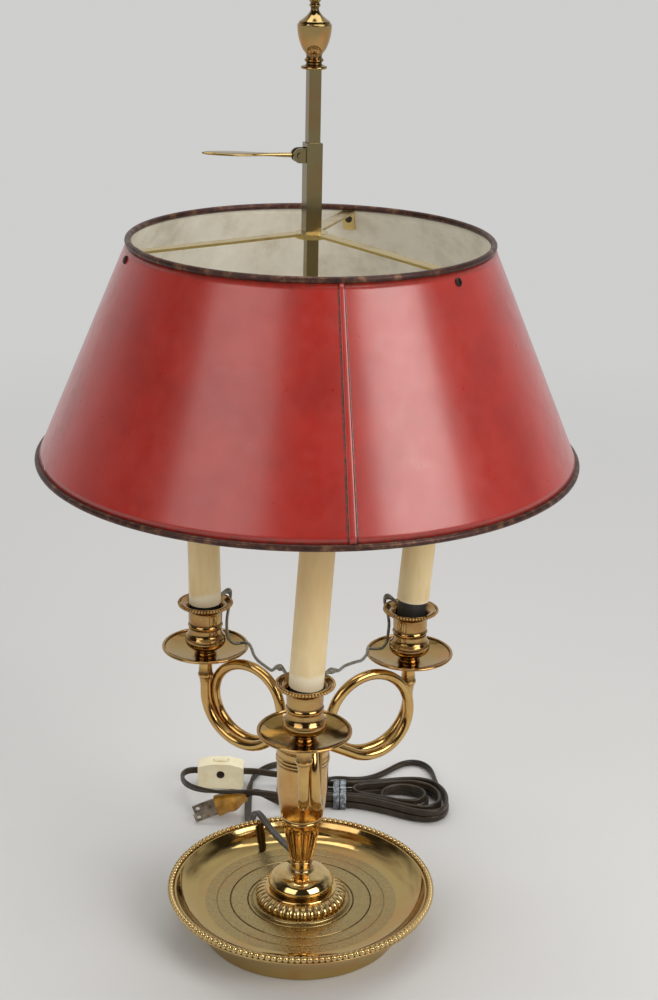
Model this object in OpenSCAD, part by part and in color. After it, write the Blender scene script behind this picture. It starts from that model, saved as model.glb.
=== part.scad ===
// Three-light table lamp: a beaded brass dish, a turned stem with three looped
// horn arms and candle sleeves, and a painted sheet shade that slides on a
// square shaft under a lever clamp. Millimetres; the stem's axis is Z, z = 0 is
// the table, and -Y is the front. Each arm is drawn along its own +X.

/* [Dish] */
// Diameter of the dish over its beaded rim
dish_d = 178; // [174:1:190]
// Height of the top of the beaded rim
rim_z = 31.7; // [30:0.1:34]
// Height of the dish floor
floor_z = 18.9; // [17.5:0.1:20.5]
// Diameter of the flat floor
floor_d = 128; // [118:1:132]
// Thickness of the spun dish
dish_t = 1.8; // [1.4:0.1:2.2]
// Diameter of the foot ring at the table
foot_d = 132; // [126:1:134]
// Diameter of one bead on the dish rim
bead_d = 4.5; // [4:0.1:5]
// Number of beads on the dish rim
bead_n = 144; // [120:1:150]
// Diameter of the outer turned line in the floor
line_outer_d = 94; // [80:1:110]
// Diameter of the inner turned line in the floor
line_inner_d = 70.6; // [68:0.1:76]
// Width of a turned line
line_w = 0.9; // [0.5:0.1:1.5]

/* [Stem] */
// Diameter of the threaded pipe that draws the stem together
rod_d = 9.6; // [8:0.1:10]
// Clearance round the pipe in the turned pieces
rod_gap = 0.1; // [0.05:0.05:0.2]
// Height of the plinth under the gadrooned ring
plinth_h = 1.6; // [1.2:0.1:2.5]
// Diameter of the gadrooned ring
gadroon_d = 61; // [56:0.5:64]
// Height of the gadrooned ring
gadroon_h = 7.5; // [6.5:0.1:9]
// Number of gadroons
gadroon_n = 36; // [28:1:40]
// Diameter of the bell foot
bell_d = 43.6; // [40:0.2:46]
// Height of the bell foot with its neck
bell_h = 20; // [19:0.5:24]
// Diameter of the bell foot's neck
neck_d = 14.2; // [13.6:0.2:16]
// Height of the neck collar
collar_h = 2.5; // [2:0.1:4]
// Height of the fluted lower column
lower_h = 30; // [26:1:36]
// Diameter of the lower column at its top
lower_top_d = 24.6; // [22:0.2:26]
// Number of flutes
flute_n = 12; // [8:1:14]
// Depth of a flute
flute_depth = 0.8; // [0.4:0.1:1.1]
// Height of the fillet ring
fillet_h = 3.5; // [3:0.1:5]
// Height of the vase
vase_h = 57; // [50:1:60]
// Diameter of the vase at its top ring
vase_d = 35.6; // [33:0.2:35.6]
// Wall of the hollow vase
vase_t = 2; // [1.4:0.1:2.6]
// Height of the domed cap
cap_h = 9; // [8:0.5:14]
// Height of the ferrule that holds the shaft
ferrule_h = 12; // [10:0.5:18]
// Diameter of the hole in the neck that the lamp cord leaves by
cord_hole_d = 6.4; // [6:0.1:7]

/* [Arms] */
// Bearings of the front, right and left arms about the stem
arm_az = [271.3, 28.5, 148];
// Distance from the stem's axis to a candle's axis
arm_reach = 78; // [74:0.5:84]
// Diameter of the arm tube
tube_d = 7; // [6:0.1:7.2]
// Bore of the arm tube
tube_bore = 4.9; // [4:0.1:5.2]
// Radius of the coiled loop, to the tube's centre
loop_r = 28; // [25:0.5:28.5]
// Distance from the stem's axis to the loop's centre
loop_u = 47; // [46.5:0.5:49]
// Sideways step of the tube in each half turn of the loop
loop_step = 4.4; // [4.2:0.1:5]
// Side of each arm's riser on which its loop lies, 1 anticlockwise from above
loop_side = [1, -1, -1];
// Height above the table of the lowest point of a loop
arm_z = 120.5; // [114:0.5:124]
// Slope of the tube where it comes down from the vase
stub_slope = 30; // [20:1:32]
// Height of the drip pan's underside above that
arm_rise = 58; // [54:0.5:66]
// Diameter of the collar's flange under the pan
flange_d = 11.6; // [10:0.2:14]
// Height of the trumpet collar
trumpet_h = 10; // [8:0.5:14]

/* [Pans and cups] */
// Diameter of a drip pan
pan_d = 57.5; // [50:0.5:60]
// Depth of a drip pan
pan_h = 7; // [6:0.1:9]
// Thickness of the pan and of the cup's lip
pan_t = 1.2; // [0.8:0.1:1.6]
// Diameter of a candle cup over its beaded lip
cup_d = 36.5; // [34:0.5:40]
// Height of a candle cup
cup_h = 37.3; // [34:0.1:42]
// Diameter of the cup's bulge
bulge_d = 26.3; // [24:0.1:28]
// Number of beads on a cup's lip
cup_bead_n = 54; // [40:1:60]
// Diameter of one bead on a cup's lip
cup_bead_d = 2.1; // [1.8:0.1:2.4]

/* [Candles and sockets] */
// Outer diameter of a candle sleeve
candle_d = 21; // [20.4:0.1:22]
// Wall of a candle sleeve
candle_t = 0.9; // [0.6:0.1:1.1]
// Length of a candle sleeve
candle_len = 102; // [90:1:110]
// Clearance between a candle sleeve and its socket
candle_gap = 0.3; // [0.2:0.05:0.4]
// Bore of the screw shell for a candelabra bulb
shell_bore = 12.2; // [11.8:0.1:12.6]
// Depth of the screw shell
shell_len = 17; // [14:0.5:20]
// Lean of the front, right and left candles away from upright
lean = [3.5, 4, 1];
// Compass bearing that each candle leans to, anticlockwise from +X
lean_to = [0, 0, 180];
// Lift of each candle sleeve above its seat in the cup
lift = [-2.4, 6, -1.2];

/* [Shaft and finial] */
// Width across the flats of the square shaft
shaft_w = 7.2; // [6.4:0.1:7.4]
// Height of the top of the shaft
shaft_top = 563.6; // [560:1:600]
// Turn of the square shaft about its axis
shaft_turn = 18; // [0:1:45]
// Height of the urn finial
finial_h = 44.4; // [40:0.2:50]
// Diameter of the finial's urn
urn_d = 19.7; // [17:0.1:22]

/* [Shade] */
// Diameter of the shade over its lower rolled edge
shade_d = 330; // [300:1:340]
// Diameter of the shade over its upper rolled edge
shade_top_d = 218; // [210:1:230]
// Height of the shade
shade_h = 134.5; // [120:0.5:145]
// Height of the shade's lower edge above the table
shade_z = 333; // [325:1:340]
// Thickness of the shade's sheet
sheet_t = 0.6; // [0.5:0.1:1]
// Diameter of the rolled edges
roll_d = 3.8; // [3:0.1:4.5]
// Bearing of the shade's lap seam
seam_az = -80.5; // [-90:0.5:-70]
// Width of the lap seam at the lower edge
seam_w = 5; // [3:0.5:8]
// Drop of the rivets below the shade's top
rivet_drop = 9; // [8.5:0.5:12]
// Diameter of a rivet's head
rivet_head_d = 5; // [4:0.1:6]

/* [Clamp] */
// Length of the square sleeve
sleeve_len = 52; // [46:1:60]
// Wall of the square sleeve
sleeve_t = 0.95; // [0.9:0.05:1.4]
// Sliding clearance between the sleeve and the shaft, each side
slide_gap = 0.15; // [0.1:0.05:0.25]
// Drop of the lever's pin below the top of the sleeve
pin_drop = 7; // [6.5:0.5:10]
// Diameter of the lever's pin
pin_d = 3; // [2.4:0.1:3.2]
// Running clearance round the lever's pin, on radius
pin_gap = 0.05; // [0.02:0.01:0.1]
// Thickness of the lever's root between the ears
root_t = 3; // [2.4:0.1:3.4]
// Length of the lever from its pin to its tip
lever_len = 57.6; // [50:0.2:64]
// Width of the lever's leaf
leaf_w = 14; // [11:0.5:16]
// Thickness of the lever's leaf
leaf_t = 1.8; // [1.4:0.1:2.4]

/* [Cord] */
// Width of the flat two-wire cord
cord_w = 5.2; // [5:0.1:5.4]
// Thickness of the flat cord
cord_t = 2.7; // [2.5:0.1:2.8]
// Turns of cord in the hank
hank_turns = 5.4; // [4.4:1:7.4]
// Step from one loop of the hank to the next
hank_step = 3.8; // [3.7:0.05:4]
// Length of the in-line switch
switch_len = 35; // [34:0.5:36]
// Height of the in-line switch
switch_h = 20.5; // [20:0.5:22]
// Thickness of the in-line switch
switch_t = 14; // [12:0.5:16]
// Diameter of the switch's wheel
wheel_d = 20.6; // [19:0.2:21]
// Thickness of the switch's wheel
wheel_t = 4; // [3:0.2:5]

/* [Hidden] */
$fn = 72;
EPS = 0.02;                                 // faces that touch stay this far apart

rod_hole_r = rod_d / 2 + rod_gap;
bead_ring_r = dish_d / 2 - bead_d / 2;      // circle of the dish beads' centres
lip_r = bead_ring_r - bead_d / 2 - 0.1;     // the dish's upright lip, inside the beads
ledge_z = rim_z - bead_d - 0.1;             // the ledge that the beads sit on
under_z = floor_z - dish_t;                 // underside of the dish floor

plinth_z = floor_z;                         // the stem's pieces, each on the last
gadroon_z = plinth_z + plinth_h;
bell_z = gadroon_z + gadroon_h;
collar_z = bell_z + bell_h;
lower_z = collar_z + collar_h;
fillet_z = lower_z + lower_h;
vase_z = fillet_z + fillet_h;
cap_z = vase_z + vase_h;
ferrule_z = cap_z + cap_h;
shaft_z = ferrule_z + 2;
rod_z = under_z - 8.5;
nut_w = 17.4;
washer_t = 1.5;
nut_t = 5;

tube_r = tube_d / 2;
loop_tilt = asin(loop_step / (2 * loop_r)); // lean of each half turn of the loop
loop_z = arm_z + loop_r * cos(loop_tilt);
out_r = arm_reach - loop_u;                 // bend from the loop up to the candle
stub_end = vase_d / 2 - 4.3;                // inner end of the tube, inside the vase
stub_len = (loop_u - loop_r * sin(stub_slope) - stub_end) / cos(stub_slope);
stub_z = arm_z + loop_r * (1 - cos(stub_slope)) + stub_len * sin(stub_slope);
pan_z = arm_z + arm_rise;
cup_z = pan_z + pan_t;
stem_r = tube_bore / 2 - 0.05;              // hollow stem that holds cup, pan and collar

candle_r = candle_d / 2;
socket_r = candle_r - candle_t - candle_gap;
socket_z = cup_z + 26.3;                    // foot of the socket, above the cup's waist
seat_z = cup_z + cup_h;                     // level of the cup's lip
candle_foot = seat_z - socket_z;            // candle sleeve above the socket's foot
socket_len = candle_foot + candle_len - 3;
cup_bore_r = socket_r + 0.6;

shade_top = shade_z + shade_h;
roll_r = roll_d / 2;
cone_a = [shade_d / 2 - roll_r, shade_z + roll_r];          // lower roll's centre
cone_b = [shade_top_d / 2 - roll_r, shade_top - roll_r];    // upper roll's centre
cone_len = norm(cone_b - cone_a);
cone_dir = (cone_b - cone_a) / cone_len;                    // up the sheet
cone_out = [cone_dir[1], -cone_dir[0]];                     // out of the sheet
cone_tilt = atan(-cone_dir[0] / cone_dir[1]);
rivet_r = 1.5;
rivet_z = shade_top - rivet_drop;
rivet_at = cone_a + cone_dir * ((rivet_z - cone_a[1]) / cone_dir[1]);
arm_t = 1.5;                                // the spider's strips
arm_w = 8;
hub_t = 3;
hub_r = 9.5;
spider_z = shade_top - 0.5;                 // underside of the spider's hub
tab_len = 12;
tab_gap = 0.1;
spider_az = [shaft_turn + 60, shaft_turn + 180, shaft_turn + 300];

sleeve_z = spider_z + hub_t;
sleeve_in = shaft_w + 2 * slide_gap;
sleeve_w = sleeve_in + 2 * sleeve_t;
pin_z = sleeve_z + sleeve_len - pin_drop;
cam_r = 3.6;
cam_reach = 0.7;                            // how far the cam's centre is off the pin
cam_gap = 0.25;                             // left between the closed cam and the shaft
pin_u = shaft_w / 2 + cam_gap + cam_r + cam_reach;          // pin from the shaft's axis
ear_t = 1.8;
ear_gap = 0.2;
ear_h = 8.4;
slot_w = root_t + 2 * ear_gap;
pin_len = slot_w + 2 * ear_t + 1.2;

switch_at = [-65.5, 188];                   // middle of the switch, seen from above
wheel_z = 11.8;
plug_back = [-43.7, 140.9, 17.6];            // where the cord enters the plug
plug_az = 189;
plug_tilt = 20;                             // the blades' tips rest on the table
plug_len = 24;
blade_len = 17.5;
blade_pitch = 12.7;
blade_w = 6.3;
blade_t = 1.5;

// Routes of the cord's free stretches: x, y, z and the twist of its flat side,
// 0 lying flat and 90 on edge.
lead_route = [
    [-1.9, 5.2, 45.5, 0], [-3.9, 10.7, 45.5, 0], [-7.6, 20.8, 43.8, 0], [-12, 33, 40.8, 0],
    [-17, 47, 37.7, 0], [-22, 61, 35, 0], [-26.6, 73, 33.9, 0], [-30, 82, 33.5, 0],
    [-33, 90, 31.8, 0], [-35.3, 98, 26.5, 0], [-37.2, 105, 18.5, 0], [-39, 113, 9.5, 0],
    [-40.5, 122, 3.8, 0], [-41.8, 134, 1.6, 0], [-42.6, 148, 1.5, 0], [-43, 162, 1.5, 0],
    [-43.2, 174, 1.6, 20], [-42.6, 185, 2.4, 60], [-40.4, 196, 2.8, 90],
    [-35.5, 206, 2.8, 90], [-27.5, 214, 2.8, 90], [-17, 218, 2.8, 90], [-7, 215.5, 3.2, 90],
    [-1.5, 207, 4, 90], [-4, 197.5, 5.2, 90], [-13, 191, 7.2, 90], [-25, 188.4, 9.6, 90],
    [-37, 188, 11.4, 90], [-43, 188, 11.8, 90], [-48, 188, 11.8, 90]];
tail_route = [
    [-83, 188, 11.8, 90], [-87.6, 188, 11.8, 90], [-92.4, 185.4, 11.9, 90],
    [-94.6, 179, 12.3, 90], [-93.6, 170, 13.2, 90], [-89.6, 160.5, 14.5, 90],
    [-83.6, 152.6, 16, 80], [-76, 146.8, 17.4, 60], [-67, 142.6, 18.8, 30],
    [-58, 138.2, 21.2, 0], [-50, 134.8, 23.4, 20], [-42, 133.8, 24, 60],
    [-34, 134.8, 22.8, 90], [-26, 136.4, 21, 90], [-17.5, 137.6, 19.2, 90],
    [-8.6, 140.2, 17.4, 60], [-0.6, 146.4, 15.4, 20], [5.8, 155, 14.2, 0],
    [10.8, 165.4, 13.6, 0], [14.8, 175.6, 12.8, 0], [21, 185, 9.4, 30], [31, 190.6, 5, 70],
    [44, 193.4, 2.9, 90], [56.4, 201, 2.8, 90], [66.6, 212, 2.8, 90], [76.4, 223, 2.8, 90],
    [86.6, 226.6, 2.8, 90], [95.4, 220.6, 2.8, 90], [99.4, 209, 2.8, 90],
    [100, 197, 2.8, 90]];
plug_route = [
    [-11.5, 143.6, 9.2, 90], [-18, 142, 11.2, 90], [-24.6, 141.6, 14.6, 90],
    [-31, 141.9, 18, 90], [-35.4, 142, 19.4, 90], [-38.8, 141.7, 19.4, 90]];

// The hank: one tube in two layers, loops nested inside each other and drawn in
// at the waist. It runs clockwise from near its right-hand tip.
hank_waist = [26, 167];
hank_right = 83;                            // waist to the right tip
hank_left = 52;                             // waist to the left tip
hank_half = 3 * hank_step;                  // half width of the waist, outermost loop
lobe_right = 52;
lobe_left = 28;
sag_right = 11;                             // how far the tips hang below the waist
sag_left = 4;
hank_low = cord_w / 2 + 0.2;                // middles of the two layers
hank_high = hank_low + cord_w + 0.6;
hank_from = -0.055;                         // turns past the right tip at the start
hank_climb = 0.08;                          // half of the climb, in turns
hank_rings = 24;                            // rings in a loop
hank_sides = 6;

// Thin wires that link the front cup to the other two: x, y, z and diameter,
// with a blob of solder where a wire crosses a cup's lip.
link_right_route = [
    [12.2, -70.6, 217.6, 2], [14.6, -69, 219, 2.4], [17, -67.4, 219.2, 4.2],
    [19.4, -65, 218.4, 2.8], [21.6, -60.6, 216.4, 2], [25.6, -46.5, 213, 2],
    [32.4, -30, 208, 2], [36, -21, 205, 2], [39.4, -2, 200, 2], [40.6, 16, 195, 2],
    [41.4, 29, 190.2, 2], [45.4, 36.4, 186.8, 2], [50.4, 39.4, 186, 2], [53.6, 40.2, 190, 2],
    [54.4, 40.6, 196, 2], [54.8, 41.6, 203, 2], [54, 43.8, 208, 2], [52.4, 46.6, 212.4, 2],
    [51.8, 48.9, 216.4, 2.2], [53.2, 48, 219.4, 4.2], [56.6, 45.6, 219, 2.4],
    [59.2, 43.8, 217.4, 2]];
link_left_route = [
    [-9.8, -70, 217.8, 2], [-11.6, -68.4, 219.8, 2.4], [-13.6, -66.8, 220.4, 4.4],
    [-15.8, -64.2, 219.4, 2.6], [-17.6, -60, 216, 2], [-19.6, -52, 211.6, 2],
    [-24.6, -30, 204.4, 2], [-29, -12, 199, 2], [-32.6, 6, 194.8, 2], [-35, 22, 192.4, 2],
    [-37.6, 34, 190, 2], [-41.4, 39.6, 187.8, 2], [-46.6, 41, 186.4, 2],
    [-50.8, 41.4, 189.4, 2], [-51.9, 42, 195, 2], [-52.2, 43.8, 201, 2], [-51.6, 47.2, 207, 2],
    [-50.6, 50.8, 211.8, 2], [-50.4, 53.6, 216.4, 2.2], [-51.6, 52.6, 219.2, 4.2],
    [-54.6, 50.4, 219, 2.4], [-56.4, 49, 217.8, 2]];

// ---- shared shapes ----

function bezier(a, b, c, n) =
    [for (i = [0 : n]) let (t = i / n) a * (1 - t) * (1 - t) + b * 2 * t * (1 - t) + c * t * t];
function lifted(points, z) = [for (p = points) [p[0], p[1] + z]];

module turned(points) rotate_extrude() polygon(points);

// A skin over rings of points; closed joins the last ring to the first, and
// otherwise each end gets a cap.
module skin(rings, closed = false) {
    n = len(rings);
    m = len(rings[0]);
    last = closed ? n - 1 : n - 2;
    sides = [for (i = [0 : last], j = [0 : m - 1])
        let (a = i * m + j, b = i * m + (j + 1) % m,
             c = ((i + 1) % n) * m + j, d = ((i + 1) % n) * m + (j + 1) % m)
        each [[a, b, c], [b, d, c]]];
    caps = closed ? [] : concat(
        [for (j = [1 : m - 2]) [0, j + 1, j]],
        [for (j = [1 : m - 2]) let (k = (n - 1) * m) [k, k + j, k + j + 1]]);
    polyhedron([for (r = rings, p = r) p], concat(sides, caps), convexity = 6);
}

// A ring of m points, w wide and t thick, at a point [x, y, z, twist] of a route.
function section(m, j) = let (even = m % 4 == 0, b = 360 * (j + (even ? 0.5 : 0)) / m)
    [cos(b) / (even ? cos(180 / m) : 1), sin(b) / cos(180 / m)] / 2;
function flat_ring(p, dir, w, t, m) =
    let (side = cross(dir, [0, 0, 1]) / norm(cross(dir, [0, 0, 1])), up = cross(side, dir),
         wide = side * cos(p[3]) + up * sin(p[3]), thin = up * cos(p[3]) - side * sin(p[3]))
    [for (j = [0 : m - 1]) [p[0], p[1], p[2]]
        + wide * (w * section(m, j)[0]) + thin * (t * section(m, j)[1])];
function heading(points, i) =
    let (a = points[max(i - 1, 0)], b = points[min(i + 1, len(points) - 1)],
         d = [b[0] - a[0], b[1] - a[1], b[2] - a[2]])
    d / norm(d);
module flat_tube(points, w, t, m)
    skin([for (i = [0 : len(points) - 1]) flat_ring(points[i], heading(points, i), w, t, m)]);

// A smooth path through the points, with one more point in each step.
function smooth(p) = [for (i = [0 : len(p) - 2]) each
    [p[i], (p[max(i - 1, 0)] * -1 + p[i] * 9 + p[i + 1] * 9
        + p[min(i + 2, len(p) - 1)] * -1) / 16]];
function smooth_path(p) = concat(smooth(p), [p[len(p) - 1]]);
function path_len(p, i = 0, sum = 0) =
    i >= len(p) - 1 ? sum
    : path_len(p, i + 1, sum + norm([for (k = [0 : 2]) p[i + 1][k] - p[i][k]]));

// Sideways directions carried along a path without twisting it.
function carried(dirs, side, i = 0) = i >= len(dirs) ? []
    : let (s = side - dirs[i] * (side * dirs[i]), u = s / norm(s))
      concat([u], carried(dirs, u, i + 1));

// A ring of beads: rings alternate between a bead's crest and the neck between two.
module bead_ring(ring_r, z, d, n)
    skin([for (i = [0 : 2 * n - 1])
        let (a = 180 * i / n, s = d / 2 * (i % 2 == 0 ? 1 : 0.66))
        [for (j = [0 : 5]) let (b = 60 * j + 30)
            [(ring_r + s * cos(b)) * cos(a), (ring_r + s * cos(b)) * sin(a), z + s * sin(b)]]],
        closed = true);

// ---- dish ----

dish_under = bezier([floor_d / 2, under_z], [floor_d / 2 + 9, under_z],
                    [lip_r + 0.2, rim_z - 3.5], 10);
dish_inner = bezier([lip_r - dish_t * 0.7, rim_z - bead_d / 2], [floor_d / 2 + 8, floor_z],
                    [floor_d / 2, floor_z], 10);

module base_dish() color("goldenrod") difference() {
    union() {
        turned(concat([[rod_hole_r, under_z]], dish_under,
                      [[lip_r, rim_z - 3.5], [lip_r, rim_z - bead_d / 2]], dish_inner,
                      [[rod_hole_r, floor_z]]));
        turned([[lip_r - 4, ledge_z - 1.4], [bead_ring_r + 0.6, ledge_z - 1.4],
                [bead_ring_r + 0.6, ledge_z], [lip_r - 2, ledge_z]]);
    }
    for (d = [line_outer_d, line_inner_d]) translate([0, 0, floor_z - 0.45]) difference() {
        cylinder(h = 2, d = d + line_w);
        translate([0, 0, -1]) cylinder(h = 4, d = d - line_w);
    }
}

module dish_bead_rim() color("gold")
    bead_ring(bead_ring_r, rim_z - bead_d / 2, bead_d, bead_n);

// The foot ring's top is cut to the dish's underside, where it is soldered.
module foot_ring() color("darkgoldenrod") difference() {
    turned(concat([[foot_d / 2 - dish_t, 0], [foot_d / 2, 0]],
        bezier([foot_d / 2 + 0.4, 2.5], [foot_d / 2 + 2.6, 13], [foot_d / 2 + 13, under_z + 6], 6),
        [[foot_d / 2 + 9, under_z + 6]],
        bezier([foot_d / 2 + 3.4, under_z + 1], [foot_d / 2, 9],
               [foot_d / 2 - dish_t + 0.3, 2.5], 5)));
    translate([0, 0, -EPS]) turned(concat([[0, under_z]], dish_under, [[lip_r, 60], [0, 60]]));
}

module base_washer() color("silver") translate([0, 0, under_z - washer_t]) difference() {
    cylinder(h = washer_t, r = 12);
    translate([0, 0, -1]) cylinder(h = washer_t + 2, r = rod_hole_r);
}

module base_nut() color("silver") translate([0, 0, under_z - washer_t - nut_t]) difference() {
    cylinder(h = nut_t, d = nut_w, $fn = 6);
    translate([0, 0, -1]) cylinder(h = nut_t + 2, r = rod_d / 2 + 0.03);
}

module tie_rod() color("silver") translate([0, 0, rod_z]) difference() {
    cylinder(h = shaft_z - 0.5 - rod_z, r = rod_d / 2);
    translate([0, 0, -1]) cylinder(h = shaft_z - rod_z + 2, r = rod_d / 2 - 1.5);
}

// ---- stem ----

module plinth() color("goldenrod")
    turned(lifted([[rod_hole_r, 0], [gadroon_d / 2 + 1.6, 0], [gadroon_d / 2 + 2, 0.5],
        [gadroon_d / 2 + 1.5, 1.1], [gadroon_d / 2 + 0.6, plinth_h - EPS],
        [rod_hole_r, plinth_h - EPS]], plinth_z));

// Each gadroon is a crest between two thin grooves, on a rounded section.
module gadroon_ring() color("gold") {
    r = gadroon_d / 2;
    skin([for (i = [0 : 4 * gadroon_n - 1])
        let (a = 90 * i / gadroon_n, f = [1, 0.85, 0, 0.85][i % 4])
        [for (p = [[r - 14, 0], [r - 1.6, 0], [r - 1.4 + 1.4 * f, 1.6],
                   [r - 1.7 + 1.4 * f, 0.48 * gadroon_h], [r - 3.6 + 1.2 * f, 0.8 * gadroon_h],
                   [r - 6.4 + 0.5 * f, gadroon_h - EPS], [r - 14, gadroon_h - EPS]])
            [p[0] * cos(a), p[0] * sin(a), gadroon_z + p[1]]]], closed = true);
}

module bell_foot() color("goldenrod") {
    r = bell_d / 2;
    n = neck_d / 2;
    difference() {
        turned(lifted(concat([[rod_hole_r, 0], [r + 1.7, 0], [r + 2.2, 0.7], [r + 1.7, 1.4]],
            bezier([r - 1.6, 1.6], [r - 4.2, 2.6], [r - 2, 3.6], 4),
            bezier([r - 0.4, 3.9], [r + 0.5, 5.2], [r - 0.4, 7], 4),
            bezier([r - 0.9, 7.8], [r - 3.4, 12], [n + 4.4, 13.2], 5),
            bezier([n + 2.6, 13.8], [n, 14.6], [n, 17], 4),
            [[n, bell_h - EPS], [rod_hole_r, bell_h - EPS]]), bell_z));
        rotate([0, 0, 110]) translate([0, 0, lead_route[0][2]]) rotate([0, 90, 0])
            cylinder(h = n + 6, d = cord_hole_d);
    }
}

module neck_collar() color("goldenrod")
    turned(lifted([[rod_hole_r, 0], [neck_d / 2 + 0.2, 0], [neck_d / 2 + 1, 0.6],
        [neck_d / 2 + 1.2, collar_h / 2], [neck_d / 2 + 1, collar_h - 0.6],
        [neck_d / 2 + 0.3, collar_h - EPS], [rod_hole_r, collar_h - EPS]], collar_z));

// A flute is a tapered groove with a round top end.
module column_lower() color("goldenrod") {
    r0 = neck_d / 2 + 0.3;
    r1 = lower_top_d / 2;
    w0 = 1.2;
    w1 = 2.2;
    lean_in = atan((r1 + w1 - r0 - w0) / (lower_h - 6));
    difference() {
        turned(lifted(concat([[rod_hole_r, 0]],
            bezier([r0, 0], [r0 + 0.6 * (r1 - r0), lower_h * 0.4], [r1, lower_h - 3], 8),
            [[r1 + 0.3, lower_h - EPS], [rod_hole_r, lower_h - EPS]]), lower_z));
        for (i = [0 : flute_n - 1]) rotate([0, 0, 360 * (i + 0.5) / flute_n])
            translate([r0 + w0 + 0.4 - flute_depth, 0, lower_z + 1.5]) rotate([0, lean_in, 0]) {
                cylinder(h = lower_h - 6, r1 = w0, r2 = w1, $fn = 32);
                translate([0, 0, lower_h - 6]) sphere(r = w1, $fn = 32);
            }
    }
}

module column_fillet() color("gold") {
    r = lower_top_d / 2 + 1.5;
    turned(lifted([[rod_hole_r, 0], [r - 1, 0], [r - 0.3, 0.3], [r, 0.9], [r - 0.3, 1.5],
        [r - 0.7, 1.8], [r - 0.2, 2.1], [r, 2.6], [r - 0.2, fillet_h - EPS],
        [rod_hole_r, fillet_h - EPS]], fillet_z));
}

// The hollow vase; the arm tubes are soldered into its side.
module column_vase() color("goldenrod") {
    r = vase_d / 2;
    h = vase_h;
    difference() {
        turned(lifted(concat([[rod_hole_r, 0]],
            bezier([r - 3.8, 0], [r - 3.2, 3], [r - 1.8, 0.22 * h], 4),
            bezier([r - 1.2, 0.3 * h], [r - 0.8, 0.55 * h], [r - 0.2, h - 7.6], 4),
            [[r - 0.5, h - 6.8], [r - 0.5, h - 6], [r, h - 5.4], [r, h - 4.2]],
            bezier([r - 0.3, h - 3.6], [r - 0.7, h - 1.6], [r - 2.6, h - EPS], 4),
            [[rod_hole_r, h - EPS]]), vase_z));
        turned(lifted([[rod_hole_r + 0.5, vase_t], [r - 3.8 - vase_t, vase_t],
            [r - 1.8 - vase_t, 0.26 * h], [r - 0.8 - vase_t, h - 6],
            [r - 1.8 - vase_t, h - vase_t], [rod_hole_r + 0.5, h - vase_t]], vase_z));
        for (i = [0 : 2]) at_stub(i) translate([0, 0, -0.3])
            cylinder(h = r, r = tube_r + 0.05);
    }
}

module column_cap() color("gold")
    turned(lifted(concat([[rod_hole_r, 0], [vase_d / 2 - 3, 0], [vase_d / 2 - 3.2, 0.8]],
        bezier([vase_d / 2 - 4.4, 1.6], [9.4, 3.2], [8, cap_h - 3], 5),
        [[8, cap_h - EPS], [rod_hole_r, cap_h - EPS]]), cap_z));

module shaft_ferrule() color("gold") difference() {
    turned(lifted([[0, 0], [8.4, 0], [8.8, 0.8], [8.4, 1.6], [7.5, 2.2], [7.2, ferrule_h - 2],
        [7.6, ferrule_h - 1], [7, ferrule_h], [0, ferrule_h]], ferrule_z));
    translate([0, 0, ferrule_z - 1]) cylinder(h = shaft_z - ferrule_z + 1 - EPS, r = rod_hole_r);
    rotate([0, 0, shaft_turn]) translate([0, 0, shaft_z - 2 * EPS + 20])
        cube([shaft_w + 0.1, shaft_w + 0.1, 40], center = true);
}

// ---- shaft and finial ----

module square_shaft() color("goldenrod") difference() {
    rotate([0, 0, shaft_turn]) translate([-shaft_w / 2, -shaft_w / 2, shaft_z])
        cube([shaft_w, shaft_w, shaft_top - shaft_z]);
    translate([0, 0, shaft_top - 11]) cylinder(h = 12, r = 2.05);
}

module finial() color("gold") {
    r = urn_d / 2;
    h = finial_h;
    turned(lifted(concat([[0, -10], [2, -10], [2, EPS], [7.2, EPS], [7.6, 0.8], [7.2, 1.6],
        [5.2, 2]], bezier([4.6, 2.6], [4, 3.4], [5, 4], 3), [[5.7, 4.7], [5.2, 5.6]],
        bezier([4.5, 6.2], [4.2, 7.4], [5, 8.6], 3),
        bezier([6.6, 10.6], [r - 0.5, 16], [r - 0.1, h * 0.49], 5),
        [[r, h * 0.51], [r, h * 0.55], [r - 0.7, h * 0.565]],
        bezier([r - 1.2, h * 0.59], [3.6, h * 0.66], [2.3, h * 0.73], 5),
        [[2.4, h * 0.76], [3.4, h * 0.785], [2.4, h * 0.81]],
        bezier([3, h * 0.83], [5.6, h * 0.9], [2.4, h * 0.975], 6), [[0, h]]), shaft_top));
}

// ---- arms ----

// Places a child, drawn up +Z, along the tube of arm i from its end in the vase.
module at_stub(i) rotate([0, 0, arm_az[i]])
    translate([stub_end, 2 * loop_side[i] * loop_step, stub_z])
    rotate([0, 90 + stub_slope, 0]) rotate([0, 0, loop_side[i] * loop_tilt]) children();

// A stretch of the tube bent to radius r about a centre above the arm's line, from
// the bearing a over b degrees; turn sets its flats in line with its neighbour's.
module tube_bend(r, a, b, turn = 0) rotate([90, 0, 0]) rotate([0, 0, a])
    rotate_extrude(angle = b) translate([r, 0]) rotate([0, 0, turn]) circle(r = tube_r);

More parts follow.
